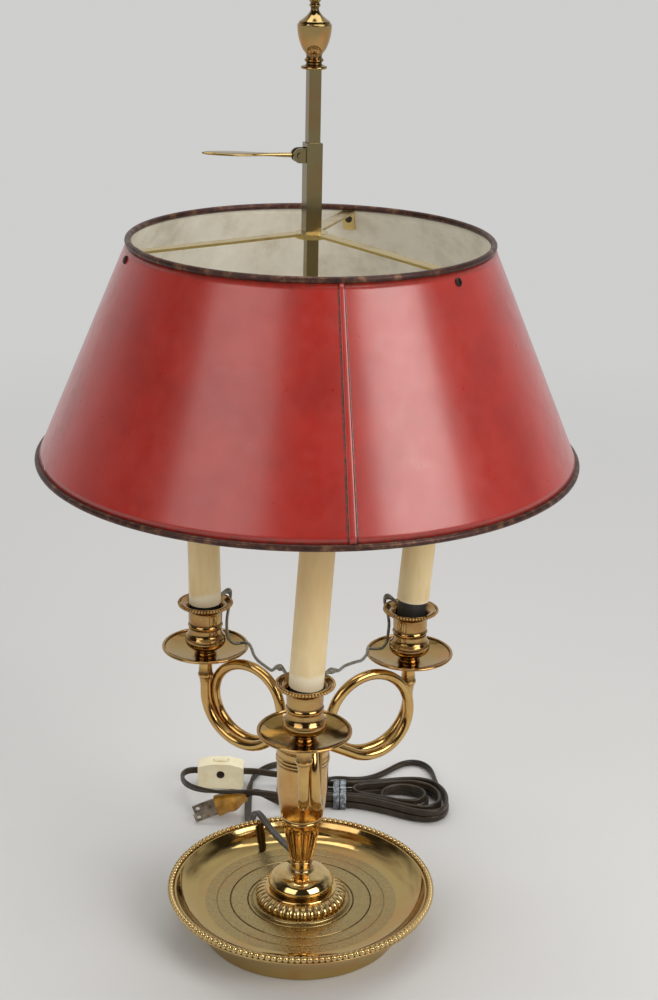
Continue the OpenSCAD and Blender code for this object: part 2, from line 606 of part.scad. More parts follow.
// The tube of one arm: down and out from the vase, up round the loop's far side,
// back down its near side, then out along a wider bend and up.
module arm(i) color("goldenrod") difference() {
    side = loop_side[i];
    v = 2 * side * loop_step;
    tilt = side * loop_tilt;
    union() {
        at_stub(i) cylinder(h = stub_len, r = tube_r);
        rotate([0, 0, arm_az[i]]) {
            translate([loop_u, v, arm_z + loop_r])
                tube_bend(loop_r, -90 - stub_slope, stub_slope, -tilt);
            translate([loop_u, v - side * loop_step / 2, loop_z]) rotate([tilt, 0, 0])
                tube_bend(loop_r, -90, 180);
            translate([loop_u, side * loop_step / 2, loop_z]) rotate([-tilt, 0, 0])
                tube_bend(loop_r, 90, 180);
            translate([loop_u, 0, arm_z + out_r]) tube_bend(out_r, -90, 90, tilt);
            translate([arm_reach, 0, arm_z + out_r]) rotate([0, 0, -tilt])
                cylinder(h = pan_z - arm_z - out_r - 0.1, r = tube_r);
        }
    }
    at_stub(i) translate([0, 0, -1]) cylinder(h = stub_len - 1, d = tube_bore);
    on_arm(i, arm_z + out_r + 3) cylinder(h = arm_rise, d = tube_bore);
}
module arm_front() arm(0);
module arm_right() arm(1);
module arm_left() arm(2);

// Places a child, drawn round the candle's axis at z = 0, on arm i at height z.
module on_arm(i, z) rotate([0, 0, arm_az[i]]) translate([arm_reach, 0, z]) children();

module arm_collars() color("gold") for (i = [0 : 2]) on_arm(i, pan_z - trumpet_h)
    turned(concat([[tube_r + 0.05, 0]],
        bezier([tube_r + 0.9, 0], [tube_r + 0.6, trumpet_h * 0.55],
               [flange_d / 2 - 0.6, trumpet_h - 2.2], 4),
        [[flange_d / 2, trumpet_h - 1.8], [flange_d / 2, trumpet_h - EPS],
         [tube_r + 0.05, trumpet_h - EPS]]));

// The stem screws into the arm tube; its nut clamps the cup and the pan.
module socket_stems() color("silver") for (i = [0 : 2]) on_arm(i, pan_z - 12) difference() {
    turned([[0, 0], [stem_r, 0], [stem_r, cup_z + 23.1 - pan_z + 12],
            [6, cup_z + 23.1 - pan_z + 12], [6, cup_z + 25.6 - pan_z + 12],
            [0, cup_z + 25.6 - pan_z + 12]]);
    translate([0, 0, -1]) cylinder(h = 60, r = stem_r - 0.9);
}

// ---- pans and cups ----

module pan(i) color("gold") on_arm(i, pan_z) {
    r = pan_d / 2 - 0.9;
    union() {
        turned(concat([[stem_r + 0.1, 0]], bezier([8, 0], [r - 8, 0.6], [r, pan_h - 1.8], 8),
            [[r, pan_h - 0.6]],
            bezier([r - 0.9, pan_h - 0.9], [r - 8.6, pan_t + 0.6], [8, pan_t - EPS], 8),
            [[stem_r + 0.1, pan_t - EPS]]));
        translate([0, 0, pan_h - 0.9])
            rotate_extrude() translate([r, 0]) circle(r = 0.9, $fn = 24);
    }
}
module pan_front() pan(0);
module pan_right() pan(1);
module pan_left() pan(2);

// Foot, bulge, waist ring and body, then a lip that flares out to its beads.
module cup(i) color("goldenrod") on_arm(i, cup_z) {
    b = bulge_d / 2;
    bore = cup_bore_r;
    lip = cup_d / 2 - cup_bead_d - 0.15;
    h = cup_h;
    turned(concat([[stem_r + 0.1, EPS], [7.2, EPS], [7.4, 1.4], [6.4, 2.2], [6.4, 3.4]],
        bezier([8.4, 4.2], [b + 1.6, 6], [b - 0.2, 11.4], 6),
        [[b - 0.2, 12.6]], bezier([b - 1, 13.6], [bore + 1, 15], [bore + 0.9, 19], 4),
        [[bore + 1.5, 19.8], [bore + 1.7, 20.6], [bore + 1.4, 21.4], [bore + 0.9, 22.2],
         [bore + 1.2, 24]],
        bezier([bore + 1.3, h - 8.5], [bore + 1.7, h - 3.4], [lip, h - 2.6], 5),
        [[lip, h - 0.9]],
        bezier([lip - 1.2, h - 1], [bore + 0.6, h - 2.4], [bore, h - 7.6], 4),
        [[bore, 23], [stem_r + 0.1, 23]]));
}
module cup_front() cup(0);
module cup_right() cup(1);
module cup_left() cup(2);

module cup_bead_rims() color("gold") for (i = [0 : 2]) on_arm(i, 0)
    bead_ring(cup_d / 2 - cup_bead_d / 2, seat_z - cup_bead_d / 2 - 0.6, cup_bead_d, cup_bead_n);

// ---- candles and sockets ----

// Places a child, drawn round the socket's axis from its foot, on arm i, leaning
// as that candle leans.
module on_socket(i) {
    c = [arm_reach * cos(arm_az[i]), arm_reach * sin(arm_az[i]), socket_z];
    translate(c) rotate([0, 0, lean_to[i]]) rotate([0, lean[i], 0]) children();
}

module socket(i) color("dimgray") on_socket(i) difference() {
    cylinder(h = socket_len, r = socket_r);
    translate([0, 0, socket_len - shell_len]) cylinder(h = shell_len + 1, d = shell_bore + 1.2);
    translate([0, 0, -1]) cylinder(h = socket_len, r = 3);
}
module socket_front() socket(0);
module socket_right() socket(1);
module socket_left() socket(2);

module screw_shell(i) color("khaki") on_socket(i)
    translate([0, 0, socket_len - shell_len + EPS]) difference() {
        cylinder(h = shell_len - EPS, d = shell_bore + 1.1);
        translate([0, 0, 0.6]) cylinder(h = shell_len, d = shell_bore);
    }
module screw_shell_front() screw_shell(0);
module screw_shell_right() screw_shell(1);
module screw_shell_left() screw_shell(2);

module candle(i) color("cornsilk") on_socket(i)
    translate([0, 0, candle_foot + lift[i]]) difference() {
        cylinder(h = candle_len, r = candle_r);
        translate([0, 0, -1]) cylinder(h = candle_len + 2, r = candle_r - candle_t);
    }
module candle_front() candle(0);
module candle_right() candle(1);
module candle_left() candle(2);

module link_wire(route) {
    path = smooth_path(route);
    dirs = [for (i = [0 : len(path) - 1]) heading(path, i)];
    side = carried(dirs, [0, 0, 1]);
    skin([for (i = [0 : len(path) - 1]) let (p = path[i], up = cross(side[i], dirs[i]))
        [for (j = [0 : 7]) [p[0], p[1], p[2]]
            + (side[i] * section(8, j)[0] + up * section(8, j)[1]) * p[3]]]);
}
module link_wire_right() color("dimgray") link_wire(link_right_route);
module link_wire_left() color("dimgray") link_wire(link_left_route);

// ---- shade ----

// A band of the cone from s0 to s1 along it, between offsets o0 and o1 from the
// middle of the sheet.
function cone_band(s0, s1, o0, o1) = [
    cone_a + cone_dir * s0 + cone_out * o0, cone_a + cone_dir * s0 + cone_out * o1,
    cone_a + cone_dir * s1 + cone_out * o1, cone_a + cone_dir * s1 + cone_out * o0];

module shade_shell() color("firebrick") difference() {
    union() {
        turned(cone_band(roll_r + EPS, cone_len - roll_r - EPS, -sheet_t / 2, sheet_t / 2));
        rotate([0, 0, seam_az - 90 * seam_w / (PI * shade_d / 2)])
            rotate_extrude(angle = 180 * seam_w / (PI * shade_d / 2))
            polygon(cone_band(roll_r + 0.6, cone_len - roll_r - 0.6, 0, sheet_t * 1.4));
    }
    at_rivets() cylinder(h = 8, r = rivet_r + 0.1, center = true);
}

// Places a child, drawn along +Z out of the sheet, at each rivet.
module at_rivets() for (az = spider_az) rotate([0, 0, az])
    translate([rivet_at[0], 0, rivet_at[1]]) rotate([0, 90 - cone_tilt, 0]) children();

module shade_lower_roll() color("saddlebrown") rotate_extrude()
    translate(cone_a) circle(r = roll_r, $fn = 32);
module shade_upper_roll() color("saddlebrown") rotate_extrude()
    translate(cone_b) circle(r = roll_r, $fn = 32);

// Three flat strips on a hub; each strip's end is bent down along the shade.
module spider() color("goldenrod") {
    tab_top = cone_a + cone_dir * ((shade_top - roll_d - 1.6 - cone_a[1]) / cone_dir[1])
        - cone_out * (sheet_t / 2 + tab_gap);
    drop = spider_z + hub_t - arm_t - tab_top[1];
    run = tab_top[0] - hub_r;
    difference() {
        union() {
            translate([0, 0, spider_z]) cylinder(h = hub_t, r = hub_r);
            for (az = spider_az) rotate([0, 0, az]) {
                translate([hub_r - 2, -arm_w / 2, spider_z + hub_t - arm_t])
                    rotate([0, atan(drop / run), 0]) cube([norm([run, drop]) + 1.6, arm_w, arm_t]);
                translate([tab_top[0], 0, tab_top[1]]) rotate([0, -cone_tilt, 0])
                    translate([-arm_t, 0.15 - arm_w / 2, -tab_len])
                    cube([arm_t, arm_w - 0.3, tab_len + arm_t]);
            }
        }
        rotate([0, 0, shaft_turn]) cube([sleeve_in, sleeve_in, 4 * shade_top], center = true);
        at_rivets() cylinder(h = 12, r = rivet_r + 0.1, center = true);
    }
}

module shade_rivets() color("dimgray") at_rivets() difference() {
    inner = -sheet_t / 2 - tab_gap - arm_t;
    outer = sheet_t / 2 + 0.05;
    union() {
        translate([0, 0, inner - 0.9]) cylinder(h = 0.85, r = rivet_head_d / 2 - 0.4);
        translate([0, 0, inner - 0.5]) cylinder(h = outer - inner + 1, r = rivet_r);
        translate([0, 0, outer]) cylinder(h = 0.6, r = rivet_head_d / 2);
        translate([0, 0, outer + 0.6]) cylinder(h = 0.6, r1 = rivet_head_d / 2,
                                                r2 = rivet_head_d / 2 - 0.8);
    }
    translate([0, 0, outer + 1.3]) cube([8, 0.8, 1.3], center = true);
}

// ---- clamp ----

// Turns a child, drawn with +X out of the sleeve's clamped face, into its place.
module at_clamp() rotate([0, 0, shaft_turn + 180]) children();

// A square tube with a window for the cam and two ears for the lever's pin.
module clamp_sleeve() color("goldenrod") at_clamp() difference() {
    union() {
        translate([-sleeve_w / 2, -sleeve_w / 2, sleeve_z + EPS])
            cube([sleeve_w, sleeve_w, sleeve_len]);
        for (s = [-1, 1]) translate([0, s * (slot_w + ear_t) / 2, pin_z]) {
            rotate([90, 0, 0]) translate([pin_u, 0, 0])
                cylinder(h = ear_t, r = ear_h / 2, center = true);
            translate([(sleeve_w / 2 - 0.5 + pin_u) / 2, 0, 0])
                cube([pin_u - sleeve_w / 2 + 0.5, ear_t, ear_h], center = true);
        }
    }
    translate([-sleeve_in / 2, -sleeve_in / 2, sleeve_z - 1])
        cube([sleeve_in, sleeve_in, sleeve_len + 2]);
    translate([0, -slot_w / 2, pin_z - cam_r - cam_reach - 0.3])
        cube([sleeve_w, slot_w, 2 * (cam_r + cam_reach + 0.3)]);
    translate([pin_u, 0, pin_z]) rotate([90, 0, 0])
        cylinder(h = 30, r = pin_d / 2 + pin_gap, center = true);
}

module lever_pin() color("khaki") at_clamp() translate([pin_u, 0, pin_z]) rotate([90, 0, 0]) {
    cylinder(h = pin_len, r = pin_d / 2, center = true);
    for (s = [-1, 1]) translate([0, 0, s * (pin_len / 2 + 0.1)])
        cylinder(h = 0.6, r = pin_d / 2 + 0.5, center = true);
}

// The lever: an eccentric cam that pinches the shaft, a slim neck and a leaf.
leaf_side = concat(
    bezier([5, root_t / 2], [lever_len * 0.3, root_t / 2 - 0.2], [lever_len * 0.48, leaf_w * 0.34], 5),
    bezier([lever_len * 0.56, leaf_w * 0.44], [lever_len * 0.72, leaf_w * 0.58],
           [lever_len * 0.86, leaf_w * 0.36], 6),
    bezier([lever_len * 0.9, leaf_w * 0.3], [lever_len * 0.97, leaf_w * 0.16], [lever_len, 0], 4));
module clamp_lever() color("gold") at_clamp() translate([pin_u, 0, pin_z]) difference() {
    union() {
        translate([-cam_reach, 0, 0]) rotate([90, 0, 0])
            cylinder(h = root_t, r = cam_r, center = true);
        rotate([0, -3, 0]) {
            translate([0, -root_t / 2, -1.3]) cube([9, root_t, 2.6]);
            translate([0, 0, -leaf_t / 2]) linear_extrude(leaf_t)
                polygon(concat(leaf_side, [for (i = [len(leaf_side) - 2 : -1 : 0])
                    [leaf_side[i][0], -leaf_side[i][1]]]));
        }
    }
    rotate([90, 0, 0]) cylinder(h = 20, r = pin_d / 2 + pin_gap, center = true);
}

// ---- cord ----

module cord_lead() color("saddlebrown") flat_tube(lead_route, cord_w, cord_t, 8);
module cord_tail() color("saddlebrown") flat_tube(tail_path, cord_w, cord_t, 8);
module cord_plug_lead() color("saddlebrown") flat_tube(plug_path, cord_w, cord_t, 8);

// The outermost loop's outline after n turns, then a loop q steps inside it.
function hank_edge(n) =
    let (c = cos(-360 * n), s = sin(-360 * n), right = c > 0)
    [hank_waist[0] + (right ? hank_right : hank_left) * c,
     hank_waist[1] - (right ? sag_right : sag_left) * c * c
        + s * (hank_half + (right ? lobe_right : lobe_left) * c * c)];
function hank_point(n) =
    let (end = hank_from + hank_turns, middle = (hank_from + end) / 2,
         q = min(n - hank_from, end - n),
         along = hank_edge(n + 0.002) - hank_edge(n - 0.002), d = along / norm(along),
         xy = hank_edge(n) + [d[1], -d[0]] * (hank_step * q),
         t = max(0, min(1, (n - middle + hank_climb) / (2 * hank_climb))))
    [xy[0], xy[1], hank_low + (hank_high - hank_low) * t * t * (3 - 2 * t), 90];
hank_n = round(hank_turns * hank_rings);
hank_path = [for (i = [0 : hank_n]) hank_point(hank_from + hank_turns * i / hank_n)];
tail_path = concat(tail_route, [hank_path[0] * 1.2 - hank_path[1] * 0.2, hank_path[0]]);
plug_path = concat([hank_path[hank_n], hank_path[hank_n] * 1.2 - hank_path[hank_n - 1] * 0.2],
    plug_route, [[each plug_back, 90]]);

// Least gap between two stretches of the hank's tube that aren't neighbours: the
// cord stands on edge, so it is cord_t across and cord_w high.
function stretch_gap(a, b, p) =
    let (ab = [b[0] - a[0], b[1] - a[1]], ap = [p[0] - a[0], p[1] - a[1]],
         t = max(0, min(1, (ab * ap) / (ab * ab))), q = ap - ab * t,
         flat = norm(q) - cord_t, high = abs(p[2] - (a[2] + (b[2] - a[2]) * t)) - cord_w)
    max(flat, high);
hank_gap = min([for (i = [0 : hank_n - 1], j = [i + 8 : hank_n])
    stretch_gap(hank_path[i], hank_path[i + 1], hank_path[j])]);
echo(hank_gap_mm = hank_gap);
echo(cord_lengths_mm = [path_len(lead_route), path_len(tail_path), path_len(hank_path),
    path_len(plug_path)]);
echo(hank_ends = [hank_path[0], hank_path[1], hank_path[hank_n - 1], hank_path[hank_n]]);

module cord_hank() color("saddlebrown") flat_tube(hank_path, cord_w, cord_t, hank_sides);

// A soft tie wound twice round the hank's waist.
module cord_tie() color("lightsteelblue") {
    half = hank_half - 0.25 * hank_step + cord_t / 2 + 0.9;
    top = hank_high + cord_w / 2 + 0.4;
    for (x = [-4.6, 0.6]) translate([hank_waist[0] + x, hank_waist[1] - 1.2, 0])
        rotate([90, 0, 90]) linear_extrude(4.4) difference() {
            union() {
                translate([-half - 1, 0]) square([2 * half + 2, top - 1]);
                translate([-half + 1, 0]) square([2 * half - 2, top + 1]);
                for (s = [-1, 1]) translate([s * (half - 1), top - 1]) circle(r = 2);
            }
            translate([-half, -1]) square([2 * half, top]);
            translate([-half + 1, -1]) square([2 * half - 2, top + 1]);
            for (s = [-1, 1]) translate([s * (half - 1), top - 1]) circle(r = 1);
        }
}

// ---- switch and plug ----

module at_switch() translate([switch_at[0], switch_at[1], 0]) children();

// One half of the housing, on the side of the wheel that s points to.
module switch_half(s) at_switch() difference() {
    translate([0, s > 0 ? switch_t / 2 : -EPS, 0]) rotate([90, 0, 0])
        linear_extrude(switch_t / 2 - EPS) polygon([
            [-switch_len / 2, 1.6], [-switch_len / 2 + 1.6, 0], [switch_len / 2 - 1.6, 0],
            [switch_len / 2, 1.6], [switch_len / 2, switch_h - 3.4],
            [switch_len / 2 - 1.6, switch_h - 2.2], [7, switch_h], [-7, switch_h],
            [-switch_len / 2 + 1.6, switch_h - 2.2], [-switch_len / 2, switch_h - 3.4]]);
    translate([0, 0, wheel_z]) rotate([90, 0, 0])
        cylinder(h = wheel_t + 0.5, r = wheel_d / 2 + 0.3, center = true);
    translate([0, 0, wheel_z]) rotate([90, 0, 0]) cylinder(h = 40, r = 1.55, center = true);
    if (s < 0) translate([0, -switch_t / 2, wheel_z]) rotate([90, 0, 0])
        cylinder(h = 3, r = 3.2, center = true);
}
module switch_front() color("ivory") switch_half(-1);
module switch_back() color("ivory") switch_half(1);

module switch_screw() color("silver") at_switch() translate([0, 0, wheel_z]) rotate([90, 0, 0])
    difference() {
        union() {
            translate([0, 0, -switch_t / 2 + 1]) cylinder(h = switch_t - 2.2, r = 1.5);
            translate([0, 0, switch_t / 2 - 1.45]) cylinder(h = 1.4, r = 2.9);
        }
        translate([0, 0, switch_t / 2]) cube([8, 0.8, 1.4], center = true);
    }

module switch_wheel() color("ivory") at_switch() translate([0, 0, wheel_z]) rotate([90, 0, 0])
    difference() {
        cylinder(h = wheel_t, r = wheel_d / 2, center = true);
        cylinder(h = 20, r = 1.55, center = true);
        for (a = [0 : 15 : 345]) rotate([0, 0, a]) translate([wheel_d / 2 + 0.3, 0, 0])
            cylinder(h = 20, r = 0.75, center = true, $fn = 16);
    }

// Places a child, drawn with +X towards the blades, at the plug.
module at_plug() translate(plug_back) rotate([0, 0, plug_az]) rotate([0, plug_tilt, 0]) children();

module plug_body() color("darkorange") at_plug() difference() {
    hull() {
        translate([EPS, -4, -4]) cube([2, 8, 8]);
        translate([10, -9.4, -6.2]) cube([3, 18.8, 12.4]);
        translate([plug_len - 1, -9, -5.8]) cube([1, 18, 11.6]);
    }
    for (s = [-1, 1]) translate([plug_len - 6, s * blade_pitch / 2 - blade_t / 2 - 0.05, -blade_w / 2 - 0.05])
        cube([10, blade_t + 0.1, blade_w + 0.1]);
}

module plug_blades() color("silver") at_plug() for (s = [-1, 1])
    translate([plug_len - 5.9, s * blade_pitch / 2, 0]) difference() {
        translate([0, -blade_t / 2, -blade_w / 2]) cube([blade_len + 5.9, blade_t, blade_w]);
        translate([blade_len + 2.4, 0, 0]) rotate([90, 0, 0]) cylinder(h = 10, r = 1.6, center = true);
    }

base_dish();
dish_bead_rim();
foot_ring();
base_washer();
base_nut();
tie_rod();
plinth();
gadroon_ring();
bell_foot();
neck_collar();
column_lower();
column_fillet();
column_vase();
column_cap();
shaft_ferrule();
square_shaft();
finial();
arm_front();
arm_right();
arm_left();
arm_collars();
pan_front();
pan_right();
pan_left();
cup_front();
cup_right();
cup_left();
cup_bead_rims();
socket_stems();
socket_front();
socket_right();
socket_left();
screw_shell_front();
screw_shell_right();
screw_shell_left();
candle_front();
candle_right();
candle_left();
link_wire_right();
link_wire_left();
shade_shell();
shade_lower_roll();
shade_upper_roll();
spider();
shade_rivets();
clamp_sleeve();
lever_pin();
clamp_lever();
cord_lead();
cord_tail();
cord_hank();
cord_plug_lead();
cord_tie();
switch_front();
switch_back();
switch_screw();
switch_wheel();
plug_body();
plug_blades();
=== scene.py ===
"""A three-light brass table lamp with looped horn arms and a red painted sheet shade.

Sizes are written in millimetres, as in the lamp's drawing, and meshes are made in
metres. The stem's axis is Z, the table is z = 0 and -Y is the front.
"""

import math

import bpy
import numpy as np
from mathutils import Matrix, Vector


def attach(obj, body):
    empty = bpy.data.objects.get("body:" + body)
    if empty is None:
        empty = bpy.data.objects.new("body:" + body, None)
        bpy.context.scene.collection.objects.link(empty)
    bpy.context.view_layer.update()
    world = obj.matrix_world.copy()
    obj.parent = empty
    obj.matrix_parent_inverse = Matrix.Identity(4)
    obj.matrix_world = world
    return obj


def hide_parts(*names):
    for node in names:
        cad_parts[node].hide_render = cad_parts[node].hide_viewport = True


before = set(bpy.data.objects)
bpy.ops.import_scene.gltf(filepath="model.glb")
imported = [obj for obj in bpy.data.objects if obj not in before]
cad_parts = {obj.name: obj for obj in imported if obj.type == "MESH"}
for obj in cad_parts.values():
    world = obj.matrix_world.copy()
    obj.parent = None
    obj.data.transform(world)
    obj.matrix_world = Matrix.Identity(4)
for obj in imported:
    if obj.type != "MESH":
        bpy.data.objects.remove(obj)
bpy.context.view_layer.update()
MM = 0.001


# ---- camera ----
# The photograph looks down on the lamp from a metre away, a little to the right of
# the stem, and is turned by about a degree.
camera = bpy.data.objects.new("camera", bpy.data.cameras.new("camera"))
camera.data.sensor_width = 36
camera.data.lens = 63.94
camera.data.clip_end = 40
camera.matrix_world = (
    Matrix.Translation((0.0136, -1.032, 0.675))
    @ Matrix.Rotation(math.radians(70.2), 4, "X")
    @ Matrix.Rotation(math.radians(1.18), 4, "Z")
)
bpy.context.scene.collection.objects.link(camera)
bpy.context.scene.camera = camera
bpy.context.scene.view_settings.view_transform = "Standard"


# ---- table, lamps and room ----
# A pale table top under three large soft lamps, to the left, to the right and above,
# in a room that is darker behind the camera, most of all in what the brass mirrors.
class Nodes:
    """A shader tree, with short calls that add a node to it and give back its output."""

    def __init__(self, tree):
        self.nodes, self.links = tree.nodes, tree.links

    def set(self, node, socket, value):
        name = socket.replace("_", " ") if isinstance(socket, str) else socket
        target = node.inputs[name]
        if isinstance(value, bpy.types.NodeSocket):
            self.links.new(value, target)
        elif isinstance(value, tuple) and len(value) == 3 and target.type == "RGBA":
            target.default_value = (*value, 1)
        else:
            target.default_value = value

    def add(self, kind, out=0, settings=None, **sockets):
        node = self.nodes.new("ShaderNode" + kind)
        for key, value in (settings or {}).items():
            setattr(node, key, value)
        for socket, value in sockets.items():
            self.set(node, int(socket[1:]) if socket[1:].isdigit() else socket, value)
        return node.outputs[out]

    def place(self, stretch=(1, 1, 1), turn=(0, 0, 0)):
        """Object coordinates, stretched by a factor along each axis."""
        at = self.add("TexCoord", out="Object")
        return self.add("Mapping", Vector=at, Scale=stretch, Rotation=turn)

    def noise(self, size, detail=4.0, rough=0.55, at=None, warp=0.0):
        """Cloudy noise, 0 to 1, whose blotches are about size mm across."""
        return self.add("TexNoise", Vector=at or self.place(), Scale=1 / (size * MM),
                        Detail=detail, Roughness=rough, Distortion=warp)

    def ramp(self, value, *stops):
        """A ramp through stops of (position, colour or grey)."""
        node = self.nodes.new("ShaderNodeValToRGB")
        ends = node.color_ramp.elements
        while len(ends) < len(stops):
            ends.new(0.5)
        for end, (position, colour) in zip(ends, stops):
            end.position = position
            grey = not isinstance(colour, tuple)
            end.color = (colour, colour, colour, 1) if grey else (*colour, 1)
        self.links.new(value, node.inputs[0])
        return node.outputs[0]

    def mix(self, share, a, b, blend="MIX"):
        return self.add("Mix", out=2, settings={"data_type": "RGBA", "blend_type": blend},
                        _0=share, _6=a, _7=b)

    def math(self, operation, a, b=0.0, clamp=False):
        return self.add("Math", settings={"operation": operation, "use_clamp": clamp},
                        _0=a, _1=b)

    def spread(self, value, low, high, to_low=0.0, to_high=1.0, easing="LINEAR"):
        return self.add("MapRange", settings={"interpolation_type": easing},
                        _0=value, _1=low, _2=high, _3=to_low, _4=to_high)

    def bump(self, height, depth, strength=1.0, under=None):
        """Normals of a relief that is depth mm deep."""
        extra = {"Normal": under} if under else {}
        return self.add("Bump", Height=height, Distance=depth * MM, Strength=strength, **extra)


class Finish(Nodes):
    """A material whose surface takes what shade sets or links."""

    def __init__(self, name, **sockets):
        self.material = bpy.data.materials.new(name)
        self.material.use_nodes = True
        super().__init__(self.material.node_tree)
        self.shader = self.nodes["Principled BSDF"]
        self.shade(**sockets)

    def shade(self, **sockets):
        for socket, value in sockets.items():
            self.set(self.shader, socket, value)


TABLE_GREY = (0.62, 0.62, 0.615)
TABLE_HALF, TABLE_Z = 30, -0.0004
table = bpy.data.meshes.new("table_top")
table.from_pydata([(x * TABLE_HALF, y * TABLE_HALF, TABLE_Z)
                   for x, y in ((-1, -1), (1, -1), (1, 1), (-1, 1))], [], [(0, 1, 2, 3)])
table_top = bpy.data.objects.new("table_top", table)
bpy.context.scene.collection.objects.link(table_top)

paper = Finish("table_paper", Base_Color=(0.66, 0.66, 0.66), Roughness=0.9,
               Specular_IOR_Level=0.1)
ray = paper.nodes.new("ShaderNodeLightPath").outputs
seen = paper.math("MAXIMUM", ray["Is Camera Ray"],
                  paper.math("MAXIMUM", ray["Is Glossy Ray"], ray["Is Transmission Ray"]))
distance = paper.add("VectorMath", out="Value", settings={"operation": "LENGTH"},
                     _0=paper.add("TexCoord", out="Object"))
far = paper.spread(distance, 0.45, 1.5)
glow = paper.add("Emission", Color=TABLE_GREY, Strength=1.0)
paper.set(paper.nodes["Material Output"], "Surface",
          paper.add("MixShader", _0=paper.math("MULTIPLY", far, seen),
                    _1=paper.shader.outputs[0], _2=glow))
table.materials.append(paper.material)


def soft_lamp(name, place, aim, width, height, watts, colour=(1, 0.98, 0.95)):
    data = bpy.data.lights.new(name, "AREA")
    data.shape, data.size, data.size_y = "RECTANGLE", width, height
    data.energy, data.color = watts, colour
    lamp = bpy.data.objects.new(name, data)
    lamp.matrix_world = Matrix.Translation(place) @ (
        Vector(aim) - Vector(place)).to_track_quat("-Z", "Y").to_matrix().to_4x4()
    lamp.visible_camera = False
    bpy.context.scene.collection.objects.link(lamp)


soft_lamp("left_lamp", (-1.1, -1.42, 1.35), (0, 0, 0.3), 1.4, 1.3, 11)
soft_lamp("right_lamp", (1.42, -1.18, 1.3), (0, 0, 0.3), 1.25, 1.2, 24)
soft_lamp("top_lamp", (0.1, 0.35, 2.1), (0, 0.05, 0.2), 1.6, 1.2, 14.5)

world = bpy.data.worlds.new("room")
bpy.context.scene.world = world
world.use_nodes = True
room = Nodes(world.node_tree)
look = room.add("TexCoord", out="Generated")
ahead = room.add("SeparateXYZ", out="Y", Vector=look)
clutter = room.add("TexNoise", Vector=look, Scale=2.2, Detail=3)
uneven = room.add("Math", settings={"operation": "MULTIPLY_ADD"}, _0=clutter, _1=1.6, _2=ahead)
lighting = room.mix(room.spread(ahead, -0.7, 0.25, easing="SMOOTHSTEP"),
                    (0.16, 0.15, 0.14), (0.62, 0.62, 0.61))
mirrored = room.mix(room.spread(uneven, 0.7, 1.75, easing="SMOOTHSTEP"),
                    (0.03, 0.024, 0.018), TABLE_GREY)
paths = room.nodes.new("ShaderNodeLightPath").outputs
backdrop = room.mix(room.math("MAXIMUM", paths["Is Camera Ray"], paths["Is Transmission Ray"]),
                    room.mix(paths["Is Glossy Ray"], lighting, mirrored), TABLE_GREY)
room.set(room.nodes["Background"], "Color", backdrop)


# ---- cord ----
# Flat two-wire lamp cord in dark brown vinyl. It leaves the stem's neck, runs over
# the dish to the in-line switch, and on to a tied hank and the plug.
CORD_WIDE, CORD_THICK = 5.2, 2.7
lead_route = [
    (-1.9, 5.2, 45.5, 0), (-3.9, 10.7, 45.5, 0), (-7.6, 20.8, 43.8, 0), (-12, 33, 40.8, 0),
    (-17, 47, 37.7, 0), (-22, 61, 35, 0), (-26.6, 73, 33.9, 0), (-30, 82, 33.5, 0),
    (-33, 90, 31.8, 0), (-35.3, 98, 26.5, 0), (-37.2, 105, 18.5, 0), (-39, 113, 9.5, 0),
    (-40.5, 122, 3.8, 0), (-41.8, 134, 1.6, 0), (-42.6, 148, 1.5, 0), (-43, 162, 1.5, 0),
    (-43.2, 174, 1.6, 20), (-42.6, 185, 2.4, 60), (-40.4, 196, 2.8, 90),
    (-35.5, 206, 2.8, 90), (-27.5, 214, 2.8, 90), (-17, 218, 2.8, 90), (-7, 215.5, 3.2, 90),
    (-1.5, 207, 4, 90), (-4, 197.5, 5.2, 90), (-13, 191, 7.2, 90), (-25, 188.4, 9.6, 90),
    (-37, 188, 11.4, 90), (-43, 188, 11.8, 90), (-48, 188, 11.8, 90)]
tail_route = [
    (-83, 188, 11.8, 90), (-87.6, 188, 11.8, 90), (-92.4, 185.4, 11.9, 90),
    (-94.6, 179, 12.3, 90), (-93.6, 170, 13.2, 90), (-89.6, 160.5, 14.5, 90),
    (-83.6, 152.6, 16, 80), (-76, 146.8, 17.4, 60), (-67, 142.6, 18.8, 30),
    (-58, 138.2, 21.2, 0), (-50, 134.8, 23.4, 20), (-42, 133.8, 24, 60),
    (-34, 134.8, 22.8, 90), (-26, 136.4, 21, 90), (-17.5, 137.6, 19.2, 90),
    (-8.6, 140.2, 17.4, 60), (-0.6, 146.4, 15.4, 20), (5.8, 155, 14.2, 0),
    (10.8, 165.4, 13.6, 0), (14.8, 175.6, 12.8, 0), (21, 185, 9.4, 30), (31, 190.6, 5, 70),
    (44, 193.4, 2.9, 90), (56.4, 201, 2.8, 90), (66.6, 212, 2.8, 90), (76.4, 223, 2.8, 90),
    (86.6, 226.6, 2.8, 90), (95.4, 220.6, 2.8, 90), (99.4, 209, 2.8, 90),
    (100, 197, 2.8, 90)]
plug_route = [
    (-11.5, 143.6, 9.2, 90), (-18, 142, 11.2, 90), (-24.6, 141.6, 14.6, 90),
    (-31, 141.9, 18, 90), (-35.4, 142, 19.4, 90), (-38.8, 141.7, 19.4, 90),
    (-43.7, 140.9, 17.6, 90)]

# The hank's loops nest inside each other and are drawn in where the tie holds them.
HANK_TURNS, HANK_STEP, HANK_FROM, HANK_CLIMB = 5.4, 3.8, -0.055, 0.08
HANK_RINGS = 24
hank_waist = (26, 167)
hank_layers = (CORD_WIDE / 2 + 0.2, CORD_WIDE * 1.5 + 0.8)


